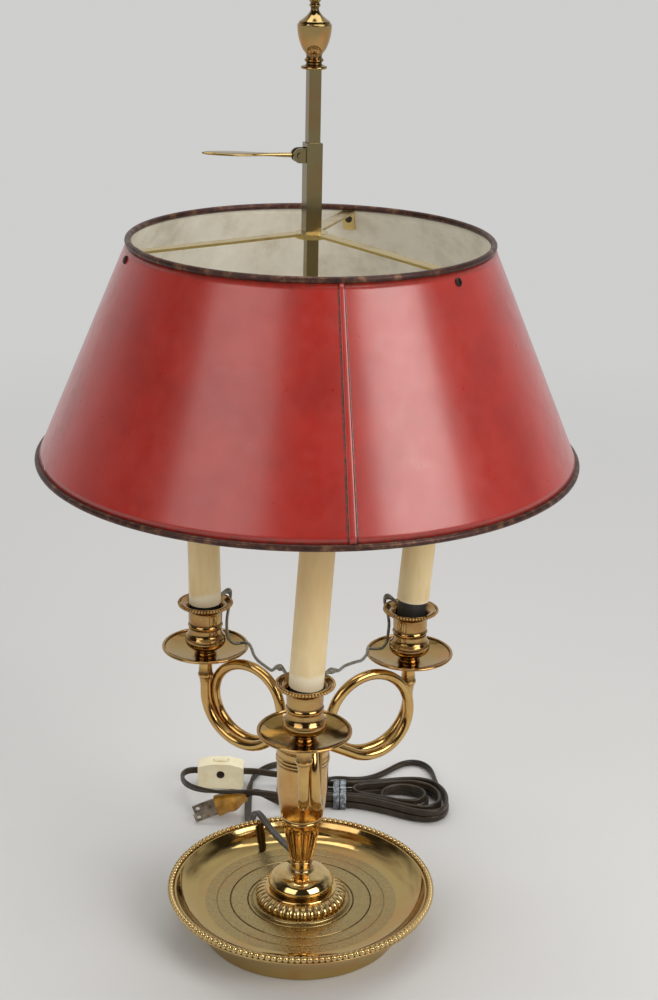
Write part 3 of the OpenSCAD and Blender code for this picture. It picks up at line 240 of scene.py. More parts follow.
def hank_edge(n):
    c, s = math.cos(-math.tau * n), math.sin(-math.tau * n)
    reach, lobe, sag = (83, 52, 11) if c > 0 else (52, 28, 4)
    return np.array([hank_waist[0] + reach * c,
                     hank_waist[1] - sag * c * c + s * (3 * HANK_STEP + lobe * c * c)])


def hank_point(n):
    end = HANK_FROM + HANK_TURNS
    inward = min(n - HANK_FROM, end - n) * HANK_STEP
    along = hank_edge(n + 0.002) - hank_edge(n - 0.002)
    along /= np.linalg.norm(along)
    x, y = hank_edge(n) + np.array([along[1], -along[0]]) * inward
    t = (n - (HANK_FROM + end) / 2 + HANK_CLIMB) / (2 * HANK_CLIMB)
    t = max(0, min(1, t))
    low, high = hank_layers
    return (x, y, low + (high - low) * t * t * (3 - 2 * t), 90)


def straight_on(a, b):
    """A point just before a, in line with a and b, where one stretch runs into the next."""
    return tuple(1.2 * np.array(a) - 0.2 * np.array(b))


hank_count = round(HANK_TURNS * HANK_RINGS)
hank_route = [hank_point(HANK_FROM + HANK_TURNS * i / hank_count) for i in range(hank_count + 1)]
hank_route = [straight_on(*hank_route[:2]), *hank_route, straight_on(*hank_route[:-3:-1])]


def through(points, steps):
    """A smooth line through the points, with this many steps between two of them."""
    p = np.array([points[0], *points, points[-1]], float)
    line = []
    for a, b, c, d in zip(p, p[1:], p[2:], p[3:]):
        for i in range(steps):
            t = i / steps
            line.append(0.5 * (2 * b + (c - a) * t + (2 * a - 5 * b + 4 * c - d) * t * t
                               + (3 * b - a - 3 * c + d) * t ** 3))
    return np.array([*line, p[-1]])


def solid(name, points, faces, finish, body="lamp", slot=None, replaces=(), smooth=True,
          marks=None):
    """A mesh piece from points in mm; marks are named numbers kept at its points."""
    mesh = bpy.data.meshes.new(name)
    mesh.from_pydata((np.array(points, float) * MM).tolist(), [], faces)
    for mark, values in (marks or {}).items():
        mesh.attributes.new(mark, "FLOAT", "POINT").data.foreach_set(
            "value", np.array(values, np.float32))
    mesh.materials.append(finish.material)
    mesh.shade_smooth() if smooth else mesh.shade_flat()
    mesh.validate()
    piece = bpy.data.objects.new(name, mesh)
    bpy.context.scene.collection.objects.link(piece)
    return settle(piece, body, replaces)


def settle(piece, body, replaces=()):
    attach(piece, body)
    if replaces:
        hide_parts(*replaces)
    return piece


# Outline of the cord: two wires side by side, with a groove between them.
wire = CORD_THICK / 2
cord_outline = [(s * ((CORD_WIDE - CORD_THICK) / 2 + wire * math.cos(a)), s * wire * math.sin(a))
                for s in (1, -1) for a in np.radians([-90, -60, -30, 0, 30, 60, 90])]
cord_outline = (cord_outline[:7] + [(0.5, wire * 0.93), (0, wire * 0.74), (-0.5, wire * 0.93)]
                + cord_outline[7:] + [(-0.5, -wire * 0.93), (0, -wire * 0.74), (0.5, -wire * 0.93)])


CORD_STEP, TIGHTEST = 2.4, 7.5


def eased(line, rounds=240):
    """The line in even steps, with bends tighter than TIGHTEST mm drawn in until round."""
    for _ in range(rounds):
        run = np.linalg.norm(np.diff(line[:, :3], axis=0), axis=1)
        at = np.concatenate([[0], np.cumsum(run)])
        even = np.linspace(0, at[-1], round(at[-1] / CORD_STEP) + 1)
        line = np.stack([np.interp(even, at, line[:, k]) for k in range(4)], axis=1)
        before, after = np.diff(line[:, :3], axis=0)[:-1], np.diff(line[:, :3], axis=0)[1:]
        turn = np.linalg.norm(after - before, axis=1) / CORD_STEP
        tight = np.convolve(turn > CORD_STEP / TIGHTEST, np.ones(5), "same") > 0
        line[1:-1] += 0.5 * tight[:, None] * ((line[:-2] + line[2:]) / 2 - line[1:-1])
        if not tight.any():
            break
    return line


def tube_faces(stations, around, inward=False):
    """Faces of a tube of rings of points, with a flat face at either end."""
    faces = []
    for k in range(stations - 1):
        for i in range(around):
            a, b = k * around + i, k * around + (i + 1) % around
            corners = (a, b, b + around, a + around)
            faces.append((a, *corners[:0:-1]) if inward else corners)
    first, last = tuple(range(around)), tuple(range((stations - 1) * around, stations * around))
    return faces + ([first, last[::-1]] if inward else [first[::-1], last])


def cord_piece(name, route, steps, replaces):
    line = eased(through(route, steps))
    path = line[:, :3]
    ahead = np.gradient(path, axis=0)
    ahead /= np.linalg.norm(ahead, axis=1, keepdims=True)
    side = np.cross(ahead, (0, 0, 1))
    side /= np.linalg.norm(side, axis=1, keepdims=True)
    up = np.cross(side, ahead)
    turn = np.radians(line[:, 3:4])
    wide = side * np.cos(turn) + up * np.sin(turn)
    thin = up * np.cos(turn) - side * np.sin(turn)
    points = [p + w * x + t * y for p, w, t in zip(path, wide, thin) for x, y in cord_outline]
    faces = tube_faces(len(path), len(cord_outline))
    piece = solid(name, points, faces, vinyl, slot="cord", replaces=replaces)
    length = float(np.linalg.norm(np.diff(path, axis=0), axis=1).sum())
    return piece, path, length


vinyl = Finish("brown_vinyl", Specular_IOR_Level=0.45)
vinyl.shade(
    Base_Color=vinyl.ramp(vinyl.noise(9, 5), (0.3, (0.020, 0.012, 0.006)),
                          (0.6, (0.040, 0.026, 0.013)), (0.8, (0.090, 0.064, 0.036))),
    Roughness=vinyl.spread(vinyl.noise(4, 3), 0.3, 0.7, 0.3, 0.46),
    Normal=vinyl.bump(vinyl.noise(1.2, 3), 0.05, 0.5))

lead_cord, lead_path, lead_length = cord_piece("stem_cord", lead_route, 5, ["cord_lead"])
hank_cord, hank_path, hank_length = cord_piece(
    "plug_cord", tail_route + hank_route + plug_route, 3,
    ["cord_tail", "cord_hank", "cord_plug_lead"])


# ---- dish ----
# Spun from sheet brass and left with its turned lines; a foot ring is soldered under
# it and a ring of beads round its lip. A nut and washer hold it to the stem's pipe.
def bend(a, b, c, n):
    """Points of a curve from a to c, pulled towards b."""
    t = np.linspace(0, 1, n + 1)[:, None]
    return [tuple(p) for p in (1 - t) ** 2 * np.array(a) + 2 * t * (1 - t) * np.array(b)
            + t * t * np.array(c)]


def softened(profile, cut):
    """The closed profile with every corner cut back by up to cut mm and rounded."""
    p = np.array(profile, float)
    p = p[np.linalg.norm(p - np.roll(p, 1, axis=0), axis=1) > 1e-6]
    out = []
    for a, b, c in zip(np.roll(p, 1, axis=0), p, np.roll(p, -1, axis=0)):
        before, after = a - b, c - b
        la, lc = np.linalg.norm(before), np.linalg.norm(after)
        if b[0] < 1e-6 and (a[0] < 1e-6 or c[0] < 1e-6):
            out.append(b)
            continue
        ends = b + before / la * min(cut, la * 0.4), b + after / lc * min(cut, lc * 0.4)
        if b[0] < 1e-6:
            out.append(b)
            continue
        turn = abs(math.atan2(before[0] * after[1] - before[1] * after[0], -before @ after))
        steps = 1 if turn < 0.15 else 2 if turn < 0.6 else 4
        out += [(1 - t) ** 2 * ends[0] + 2 * t * (1 - t) * b + t * t * ends[1]
                for t in np.linspace(0, 1, steps + 1)]
    return np.array(out)


def hollowness(outline, reach=1.0):
    """How far each point of a closed outline lies in a hollow (+) or on an edge (-)."""
    step = np.linalg.norm(np.roll(outline, -1, axis=0) - outline, axis=1)
    at = np.concatenate([[0], np.cumsum(step)])
    loop = np.vstack([outline, outline[:1]])
    size = at[-1]

    def point(s):
        s = s % size
        return np.stack([np.interp(s, at, loop[:, k]) for k in (0, 1)], axis=1)

    near = point(at[:-1] + reach), point(at[:-1] - reach)
    ahead = near[0] - near[1]
    area = np.sum(outline[:, 0] * np.roll(outline[:, 1], -1)
                  - np.roll(outline[:, 0], -1) * outline[:, 1])
    out = np.stack([ahead[:, 1], -ahead[:, 0]], axis=1) * np.sign(area)
    out /= np.maximum(np.linalg.norm(out, axis=1, keepdims=True), 1e-9)
    rise = np.sum(((near[0] + near[1]) / 2 - outline) * out, axis=1)
    return np.clip(rise / (0.35 * reach), -1, 1)


def turned(name, profile, finish, body="lamp", slot="brass", replaces=(), rings=144,
           cut=0.3, centre=(0, 0), shape=None):
    """A solid turned about an upright axis, from a closed profile of (radius, height)."""
    outline = softened(profile, cut)
    hollow = hollowness(outline)
    angles = np.arange(rings) * math.tau / rings
    points, marks, rows = [], [], []
    for (r, z), h in zip(outline, hollow):
        if r < 1e-6:
            rows.append([len(points)] * rings)
            points.append((centre[0], centre[1], z))
            marks.append(h)
            continue
        rows.append(range(len(points), len(points) + rings))
        radii = np.full(rings, r) if shape is None else shape(r, z, angles)
        points += list(zip(centre[0] + radii * np.cos(angles),
                           centre[1] + radii * np.sin(angles), np.full(rings, z)))
        marks += [h] * rings
    faces = []
    for a, b in zip(rows, rows[1:] + rows[:1]):
        for i in range(rings):
            j = (i + 1) % rings
            corners = list(dict.fromkeys([a[i], a[j], b[j], b[i]]))
            if len(corners) > 2:
                faces.append(corners)
    piece = solid(name, points, faces, finish, body, slot, replaces, marks={"hollow": marks})
    outward(piece)
    return piece


def outward(piece):
    """Turns the faces outwards; the solid is closed, so its volume says which way."""
    mesh = piece.data
    co = np.empty(len(mesh.vertices) * 3)
    mesh.vertices.foreach_get("co", co)
    co = co.reshape(-1, 3)
    mesh.calc_loop_triangles()
    tri = np.array([t.vertices for t in mesh.loop_triangles])
    volume = np.einsum("ij,ij->i", co[tri[:, 0]], np.cross(co[tri[:, 1]], co[tri[:, 2]])).sum()
    if volume < 0:
        mesh.flip_normals()


def brass(name, gold=(0.72, 0.47, 0.17), copper=(0.58, 0.27, 0.085), dark=(0.085, 0.045, 0.017),
          shine=0.16, patches=34, copper_share=0.5, scratch=0.6, satin_to=0):
    """Polished brass under old lacquer: copper-toned patches and dark hollows.

    Within satin_to mm of the axis it is stippled, dull and a little green.
    """
    f = Finish(name, Metallic=1.0)
    cloud = f.noise(patches, 5, 0.6, warp=0.4)
    tone = f.ramp(cloud, (0.62 - 0.34 * copper_share, gold), (0.86 - 0.3 * copper_share, copper))
    hollow = f.add("Attribute", out="Fac", settings={"attribute_name": "hollow"})
    speck = f.noise(2.2, 6, 0.7)
    dirt = f.math("MULTIPLY", f.spread(hollow, 0.08, 0.75), f.spread(speck, 0.3, 0.62, 0.45, 1))
    freckle = f.spread(f.noise(1.1, 4, 0.8), 0.68, 0.8, 0, 0.55)
    dirt = f.math("MAXIMUM", dirt, freckle)
    smear = f.spread(f.noise(6, 6, 0.7), 0.3, 0.75, shine, shine + 0.1)
    fine = f.noise(0.5, 2, 0.5, at=f.place((1, 1, 3)))
    relief = f.bump(f.noise(14, 2), 0.12, scratch)
    if satin_to:
        flat = f.add("VectorMath", settings={"operation": "MULTIPLY"},
                     _0=f.add("TexCoord", out="Object"), _1=(1, 1, 0))
        radius = f.add("VectorMath", out="Value", settings={"operation": "LENGTH"}, _0=flat)
        within = f.spread(radius, (satin_to - 0.6) * MM, (satin_to + 0.6) * MM, 1, 0)
        stipple = f.noise(1.5, 5, 0.75)
        dull = f.math("MULTIPLY", within, f.spread(stipple, 0.4, 0.62, 0.15, 0.85))
        tone = f.mix(dull, tone, (0.33, 0.27, 0.14))
        smear = f.math("ADD", smear, f.math("MULTIPLY", within, 0.16))
        relief = f.bump(f.math("MULTIPLY", within, stipple), 0.16, 0.8, under=relief)
    f.shade(Base_Color=f.mix(dirt, tone, dark),
            Roughness=f.math("ADD", smear, f.math("MULTIPLY", dirt, 0.3)),
            Normal=f.bump(fine, 0.006, scratch, under=relief))
    return f


RIM_Z, FLOOR_Z, FLOOR_D, DISH_D, DISH_T = 31.7, 18.9, 128, 178, 1.8
BEAD_D, BEAD_COUNT, FOOT_D = 4.5, 144, 132
PIPE_R = 4.9
bead_r = DISH_D / 2 - BEAD_D / 2
lip_r = bead_r - BEAD_D / 2 - 0.1
under_z = FLOOR_Z - DISH_T

dish_finish = brass("dish_brass", gold=(0.54, 0.39, 0.155), shine=0.05, patches=60,
                    copper_share=0.3, satin_to=FLOOR_D / 2)
floor_line = [(94 / 2, 0.45), (70.6 / 2, 0.5), (112 / 2, 0.16), (58 / 2 + 4, 0.16)]
floor_profile = []
for radius, cut_in in sorted(floor_line, reverse=True):
    floor_profile += [(radius + 0.55, FLOOR_Z), (radius + 0.25, FLOOR_Z - cut_in),
                      (radius - 0.25, FLOOR_Z - cut_in), (radius - 0.55, FLOOR_Z)]
turned("dish", [(PIPE_R, under_z), (30, under_z)]
       + bend((FLOOR_D / 2, under_z), (FLOOR_D / 2 + 9, under_z), (lip_r + 0.2, RIM_Z - 3.5), 22)
       + [(lip_r, RIM_Z - 3.5), (lip_r, RIM_Z - BEAD_D / 2)]
       + bend((lip_r - DISH_T * 0.7, RIM_Z - BEAD_D / 2), (FLOOR_D / 2 + 12.4, FLOOR_Z + 0.5),
              (FLOOR_D / 2, FLOOR_Z), 26)
       + floor_profile + [(30, FLOOR_Z), (PIPE_R, FLOOR_Z)],
       dish_finish, replaces=["base_dish"], rings=192, cut=0.25)
turned("bead_ledge", [(lip_r - 0.6, RIM_Z - BEAD_D - 1.5), (bead_r + 0.6, RIM_Z - BEAD_D - 1.5),
                      (bead_r + 0.6, RIM_Z - BEAD_D - 0.1), (lip_r - 0.6, RIM_Z - BEAD_D - 0.1)],
       dish_finish, rings=192)
foot_r = FOOT_D / 2
turned("foot_skirt", [(foot_r - DISH_T, 0.02), (foot_r, 0.02)]
       + bend((foot_r + 0.4, 2.5), (foot_r + 2.6, 13), (foot_r + 12.6, under_z + 4.6), 14)
       + bend((foot_r + 3.4, under_z + 0.6), (foot_r, 9), (foot_r - DISH_T + 0.3, 2.5), 10),
       dish_finish, replaces=["foot_ring"], rings=192)


def tree_inputs(name, **sockets):
    """A new Geometry Nodes tree with named inputs; gives the tree and its input node."""
    tree = bpy.data.node_groups.new(name, "GeometryNodeTree")
    for socket, kind in {"Geometry": "Geometry", **sockets}.items():
        tree.interface.new_socket(socket, in_out="INPUT", socket_type="NodeSocket" + kind)
    tree.interface.new_socket("Geometry", in_out="OUTPUT", socket_type="NodeSocketGeometry")
    return tree, tree.nodes.new("NodeGroupInput").outputs


def step(tree, kind, out=0, settings=None, **sockets):
    """Adds a node to a tree, sets or links its inputs and gives back one output."""
    node = tree.nodes.new(kind)
    for key, value in (settings or {}).items():
        setattr(node, key, value)
    for socket, value in sockets.items():
        target = node.inputs[int(socket[1:]) if socket[1:].isdigit() else socket.replace("_", " ")]
        if isinstance(value, bpy.types.NodeSocket):
            tree.links.new(value, target)
        else:
            target.default_value = value
    return node.outputs[out]


def grown(name, tree, finish, body, slot, replaces=(), start=None, smooth=True, **values):
    """Runs a tree with these inputs and keeps what it makes as a plain mesh piece."""
    base = bpy.data.objects.new(name + "_start", start or bpy.data.meshes.new(name + "_start"))
    bpy.context.scene.collection.objects.link(base)
    maker = base.modifiers.new("maker", "NODES")
    maker.node_group = tree
    values["Material"] = finish.material
    for item in tree.interface.items_tree:
        if item.in_out == "INPUT" and item.name in values:
            maker[item.identifier] = values[item.name]
    made = base.evaluated_get(bpy.context.evaluated_depsgraph_get())
    mesh = bpy.data.meshes.new_from_object(made)
    mesh.name = name
    mesh.shade_smooth() if smooth else mesh.shade_flat()
    bpy.data.objects.remove(base)
    piece = bpy.data.objects.new(name, mesh)
    bpy.context.scene.collection.objects.link(piece)
    return settle(piece, body, replaces)


bead_tree, given = tree_inputs("bead_circle", Radius="Float", Centre="Vector", Bead="Float",
                               Count="Int", Material="Material")
circle = step(bead_tree, "GeometryNodeMeshCircle", Vertices=given["Count"], Radius=given["Radius"])
circle = step(bead_tree, "GeometryNodeTransform", Geometry=circle, Translation=given["Centre"])
bead = step(bead_tree, "GeometryNodeMeshUVSphere", Segments=10, Rings=7, Radius=given["Bead"])
beads = step(bead_tree, "GeometryNodeInstanceOnPoints", Points=circle, Instance=bead)
beads = step(bead_tree, "GeometryNodeRealizeInstances", Geometry=beads)
beads = step(bead_tree, "GeometryNodeSetMaterial", Geometry=beads, Material=given["Material"])
bead_tree.links.new(beads, bead_tree.nodes.new("NodeGroupOutput").inputs[0])

bead_finish = brass("bead_brass", gold=(0.70, 0.52, 0.24), shine=0.16, patches=12,
                    copper_share=0.25)
grown("dish_beads", bead_tree, bead_finish, "lamp", "brass", ["dish_bead_rim"],
      Radius=bead_r * MM, Centre=(0, 0, (RIM_Z - BEAD_D / 2) * MM), Bead=BEAD_D / 2 * MM,
      Count=BEAD_COUNT)

# ---- stem ----
# Turned brass pieces threaded on one pipe: a plinth and a ring of gadroons, a bell
# foot with the cord's hole in its neck, a fluted column, a hollow vase and its cap.
stem_finish = brass("stem_brass", gold=(0.66, 0.44, 0.17), copper=(0.56, 0.28, 0.10),
                    shine=0.07, patches=30, copper_share=0.62)
plinth_z = FLOOR_Z
gadroon_z = plinth_z + 1.6
bell_z = gadroon_z + 7.5
collar_z = bell_z + 20
column_z = collar_z + 2.5
fillet_z = column_z + 30
vase_z = fillet_z + 3.5
cap_z = vase_z + 57
ferrule_z = cap_z + 9
GADROON_R, BELL_R, NECK_R, COLUMN_TOP_R, VASE_R = 30.5, 21.8, 7.1, 12.3, 17.8


def raised(profile, z):
    return [(r, h + z) for r, h in profile]


turned("plinth_disc", raised([(PIPE_R, 0), (GADROON_R + 1.6, 0), (GADROON_R + 2, 0.5),
                              (GADROON_R + 1.5, 1.1), (GADROON_R + 0.6, 1.58), (PIPE_R, 1.58)],
                             plinth_z), dish_finish, replaces=["plinth"])


def gadroons(name, count, per_lobe, replaces):
    """A ring of rounded lobes with a dark groove between each two."""
    r, h = GADROON_R, 7.48
    section = [(r - 14, 0, 0), (r - 1.9, 0, 0.2), (r - 1.2, 0.5, 0.7), (r - 0.5, 1.4, 1),
               (r - 0.15, 2.6, 1), (r - 0.4, 3.8, 1), (r - 1.3, 5, 0.95), (r - 2.7, 6.1, 0.85),
               (r - 4.4, 6.9, 0.6), (r - 5.9, 7.3, 0.25), (r - 6.8, h, 0), (r - 14, h, 0)]
    points, marks = [], []
    for i in range(count * per_lobe):
        a = math.tau * i / (count * per_lobe)
        across = abs((i % per_lobe) / per_lobe * 2 - 1)
        sink = 1 - math.sqrt(max(0, 1 - (0.985 * across) ** 2))
        for radius, z, depth_here in section:
            radius -= 1.9 * sink * depth_here
            points.append((radius * math.cos(a), radius * math.sin(a),
                           gadroon_z + z - 0.35 * sink * depth_here * (z > 3)))
            marks.append(min(1, sink * 1.3) * (depth_here > 0.2) - 0.1)
    n = len(section)
    total = count * per_lobe
    faces = [(k * n + j, ((k + 1) % total) * n + j, ((k + 1) % total) * n + (j + 1) % n,
              k * n + (j + 1) % n) for k in range(total) for j in range(n)]
    outward(solid(name, points, faces, bead_finish, slot="brass", replaces=replaces,
                  marks={"hollow": marks}))


gadroons("gadroons", 36, 10, ["gadroon_ring"])

bell_finish = brass("bell_brass", gold=(0.74, 0.55, 0.25), copper=(0.60, 0.36, 0.14), shine=0.06,
                    patches=20, copper_share=0.35)
turned("bell", raised([(PIPE_R, 0), (BELL_R + 1.7, 0), (BELL_R + 2.2, 0.7), (BELL_R + 1.7, 1.4)]
                      + bend((BELL_R - 1.6, 1.6), (BELL_R - 4.2, 2.6), (BELL_R - 2, 3.6), 8)
                      + bend((BELL_R - 0.4, 3.9), (BELL_R + 0.5, 5.2), (BELL_R - 0.4, 7), 8)
                      + bend((BELL_R - 0.9, 7.8), (BELL_R - 3.4, 12), (NECK_R + 4.4, 13.2), 14)
                      + bend((NECK_R + 2.6, 13.8), (NECK_R, 14.6), (NECK_R, 17), 8)
                      + [(NECK_R, 19.98), (PIPE_R, 19.98)], bell_z),
       bell_finish, replaces=["bell_foot"])
CORD_HOLE_Z, CORD_HOLE_BEARING = 45.5, 110
bushing = turned("cord_bushing",
                 [(1.9, 0), (3.1, 0), (3.1, 1.4), (3.5, 1.4), (3.5, 2.2), (1.9, 2.2)],
                 vinyl, slot="cord", rings=32, cut=0.15)
bushing.data.transform(
    Matrix.Rotation(math.radians(CORD_HOLE_BEARING), 4, "Z")
    @ Matrix.Translation(Vector((NECK_R - 1.6, 0, CORD_HOLE_Z)) * MM)
    @ Matrix.Rotation(math.pi / 2, 4, "Y"))
turned("neck_ring", raised([(PIPE_R, 0), (NECK_R + 0.2, 0), (NECK_R + 1, 0.6), (NECK_R + 1.2, 1.25),
                            (NECK_R + 1, 1.9), (NECK_R + 0.3, 2.48), (PIPE_R, 2.48)], collar_z),
       stem_finish, replaces=["neck_collar"])

FLUTES = 12


def fluted(r, z, angles):
    """Shallow round-ended grooves, tapering down the column."""
    h = z - column_z
    if r < PIPE_R + 1 or not 1 < h < 27.5:
        return np.full(len(angles), r)
    half = (1.2 + (h - 1.5) / 24) / r
    end = 1 if h < 24 else math.sqrt(max(0, 1 - ((h - 24) / 3) ** 2))
    off = (angles / math.tau * FLUTES + 0.5) % 1 - 0.5
    groove = np.clip(1 - (off * math.tau / FLUTES / max(half * end, 1e-3)) ** 2, 0, 1)
    return r - 1.0 * groove * min(1, end * 1.4)


r0, r1 = NECK_R + 0.3, COLUMN_TOP_R
turned("fluted_column", raised([(PIPE_R, 0)]
                               + bend((r0, 0), (r0 + 0.6 * (r1 - r0), 12), (r1, 27), 26)
                               + [(r1 + 0.3, 29.98), (PIPE_R, 29.98)], column_z),
       stem_finish, replaces=["column_lower"], rings=288, shape=fluted)
r = COLUMN_TOP_R + 1.5
turned("column_ring", raised([(PIPE_R, 0), (r - 1, 0), (r - 0.3, 0.3), (r, 0.9), (r - 0.3, 1.5),
                              (r - 0.7, 1.8), (r - 0.2, 2.1), (r, 2.6), (r - 0.2, 3.48),
                              (PIPE_R, 3.48)], fillet_z),
       stem_finish, replaces=["column_fillet"], cut=0.2)
r, h = VASE_R, 57
turned("vase", raised([(PIPE_R, 0)] + bend((r - 3.8, 0), (r - 3.2, 3), (r - 1.8, 0.22 * h), 12)
                      + bend((r - 1.2, 0.3 * h), (r - 1.05, 0.5 * h), (r - 0.9, 39.5), 10)
                      + [(r - 0.2, 40.2), (r, 41.2), (r - 0.5, 42.4), (r - 0.2, 43.6),
                         (r - 0.6, 44.6)]
                      + bend((r - 0.8, 45.4), (r - 0.6, 47), (r - 0.2, h - 7.6), 6)
                      + [(r - 0.5, h - 6.8), (r - 0.5, h - 6), (r, h - 5.4), (r, h - 4.2)]
                      + bend((r - 0.3, h - 3.6), (r - 0.7, h - 1.6), (r - 2.6, h - 0.02), 8)
                      + [(PIPE_R, h - 0.02)], vase_z),
       stem_finish, replaces=["column_vase"])
turned("vase_cap", raised([(PIPE_R, 0), (r - 3, 0), (r - 3.2, 0.8)]
                          + bend((r - 4.4, 1.6), (9.4, 3.2), (8, 6), 12)
                          + [(8, 8.98), (PIPE_R, 8.98)], cap_z),
       stem_finish, replaces=["column_cap"])
turned("ferrule", raised([(3, 0), (8.4, 0), (8.8, 0.8), (8.4, 1.6), (7.5, 2.2), (7.2, 10),
                          (7.6, 11), (7, 12), (3, 12)], ferrule_z),
       stem_finish, replaces=["shaft_ferrule"], rings=72)

# ---- shaft and finial ----
# A square brass bar, turned 18 degrees, that the shade slides on. The urn finial
# screws into its top.
SHAFT_W, SHAFT_TOP, SHAFT_TURN = 7.2, 563.6, 18
bar_finish = brass("bar_brass", gold=(0.23, 0.185, 0.09), copper=(0.26, 0.14, 0.06), shine=0.12,
                   patches=40, copper_share=0.45)


def bar(name, half, bottom, top, turn, finish, chamfer, **kept):
    """A square bar with bevelled edges."""
    c = chamfer
    ring = [(half, -half + c), (half, half - c), (half - c, half), (-half + c, half),
            (-half, half - c), (-half, -half + c), (-half + c, -half), (half - c, -half)]
    points = []
    for z, shrink in ((bottom, c), (bottom + c, 0), (top - c, 0), (top, c)):
        s = 1 - shrink / half
        points += [(x * s, y * s, z) for x, y in ring]
    faces = tube_faces(4, len(ring))
    piece = solid(name, points, faces, finish, smooth=False, **kept)
    piece.data.transform(Matrix.Rotation(math.radians(turn), 4, "Z"))
    return piece


bar("square_bar", SHAFT_W / 2, ferrule_z + 2, SHAFT_TOP, SHAFT_TURN, bar_finish, 0.35,
    slot="brass", replaces=["square_shaft"])
r, h = 9.85, 44.4
finial_finish = brass("finial_brass", gold=(0.38, 0.27, 0.11), shine=0.05, patches=16,
                      copper_share=0.35)
turned("urn_finial", raised([(0, 0.02), (7.2, 0.02), (7.6, 0.8), (7.2, 1.6), (5.2, 2)]
                            + bend((4.6, 2.6), (4, 3.4), (5, 4), 5) + [(5.7, 4.7), (5.2, 5.6)]
                            + bend((4.5, 6.2), (4.2, 7.4), (5, 8.6), 6)
                            + bend((6.6, 10.6), (r - 0.5, 16), (r - 0.1, h * 0.49), 12)
                            + [(r, h * 0.51), (r, h * 0.55), (r - 0.7, h * 0.565)]
                            + bend((r - 1.2, h * 0.59), (3.6, h * 0.66), (2.3, h * 0.73), 12)
                            + [(2.4, h * 0.76), (3.4, h * 0.785), (2.4, h * 0.81)]
                            + bend((3, h * 0.83), (5.6, h * 0.9), (2.4, h * 0.975), 10)
                            + [(0, h)], SHAFT_TOP),
       finial_finish, replaces=["finial"], rings=96, cut=0.2)

# ---- arms ----
# Three brass tubes bent like horns: out of the vase, once round a loop, then out and
# up to the candle, where a trumpet collar meets the pan. The front arm is the mirror
# image of the other two.
ARM_BEARINGS = (271.3, 28.5, 148)
SIDES = ("front", "right", "left")
ARM_REACH, ARM_R, LOOP_R, LOOP_U, LOOP_STEP = 78, 3.5, 28, 47, 4.4
ARM_Z, PAN_Z, STUB_SLOPE = 120.5, 178.5, math.radians(30)
loop_high = LOOP_R * math.cos(math.asin(LOOP_STEP / 2 / LOOP_R))


def arm_line(hand):
    """The tube's middle line, drawn along +X: (out, sideways, up).

    hand is the side of the riser on which the loop lies, 1 anticlockwise from above.
    """
    across = hand * LOOP_STEP
    join, low = LOOP_U - LOOP_R * math.sin(STUB_SLOPE), LOOP_R * (1 - math.cos(STUB_SLOPE))
    line = [(u, 2 * across, ARM_Z + low + (join - u) * math.tan(STUB_SLOPE))
            for u in np.linspace(VASE_R - 4.3, join - 1, 7)]
    line += [(LOOP_U + LOOP_R * math.sin(a), 2 * across, ARM_Z + LOOP_R * (1 - math.cos(a)))
             for a in np.linspace(-STUB_SLOPE, -0.07, 8)]
    for a in np.radians(np.linspace(-90, 270, 97)):
        v = across * (1.5 - math.sin(a) / 2 if a < math.pi / 2 else 0.5 + math.sin(a) / 2)
        line.append((LOOP_U + LOOP_R * math.cos(a), v, ARM_Z + loop_high * (1 + math.sin(a))))
    out = ARM_REACH - LOOP_U
    line += [(LOOP_U + out * math.sin(a), 0, ARM_Z + out * (1 - math.cos(a)))
             for a in np.radians(np.linspace(4, 90, 22))]
    return line + [(ARM_REACH, 0, z) for z in np.linspace(ARM_Z + out + 3, PAN_Z - 0.1, 6)]


tube_tree, given = tree_inputs("swept_tube", Radius="Float", Sides="Int", Material="Material")
line = step(tube_tree, "GeometryNodeMeshToCurve", Mesh=given["Geometry"])
thick = step(tube_tree, "GeometryNodeInputNamedAttribute", Name="thickness")
line = step(tube_tree, "GeometryNodeSetCurveRadius", Curve=line, Radius=thick)
ring = step(tube_tree, "GeometryNodeCurvePrimitiveCircle", Resolution=given["Sides"],
            Radius=given["Radius"])
sweep = tube_tree.nodes.new("GeometryNodeCurveToMesh")
tube_tree.links.new(line, sweep.inputs["Curve"])
tube_tree.links.new(ring, sweep.inputs["Profile Curve"])
sweep.inputs["Fill Caps"].default_value = True
if "Scale" in sweep.inputs:
    tube_tree.links.new(thick, sweep.inputs["Scale"])
tube = step(tube_tree, "GeometryNodeRealizeInstances", Geometry=sweep.outputs[0])
tube = step(tube_tree, "GeometryNodeSetMaterial", Geometry=tube, Material=given["Material"])
tube_tree.links.new(tube, tube_tree.nodes.new("NodeGroupOutput").inputs[0])


def swept(name, points, thickness, finish, body, slot, replaces, sides):
    """A round tube through points in mm, of radius thickness in mm at each."""
    start = bpy.data.meshes.new(name + "_line")
    start.from_pydata((np.array(points, float) * MM).tolist(),
                      [(i, i + 1) for i in range(len(points) - 1)], [])
    start.attributes.new("thickness", "FLOAT", "POINT").data.foreach_set(
        "value", np.full(len(points), 1.0) * np.array(thickness, np.float32))
    piece = grown(name, tube_tree, finish, body, slot, replaces, start, Radius=MM, Sides=sides)
    outward(piece)
    return piece


arm_finish = brass("arm_brass", gold=(0.62, 0.41, 0.15), copper=(0.52, 0.28, 0.09), shine=0.09,
                   patches=26, copper_share=0.55)
for side, bearing, hand in zip(SIDES, ARM_BEARINGS, (1, -1, -1)):
    c, s = math.cos(math.radians(bearing)), math.sin(math.radians(bearing))
    swept("horn_arm_" + side, [(u * c - v * s, u * s + v * c, z) for u, v, z in arm_line(hand)],
          ARM_R, arm_finish, "lamp", "brass", ["arm_" + side], 32)

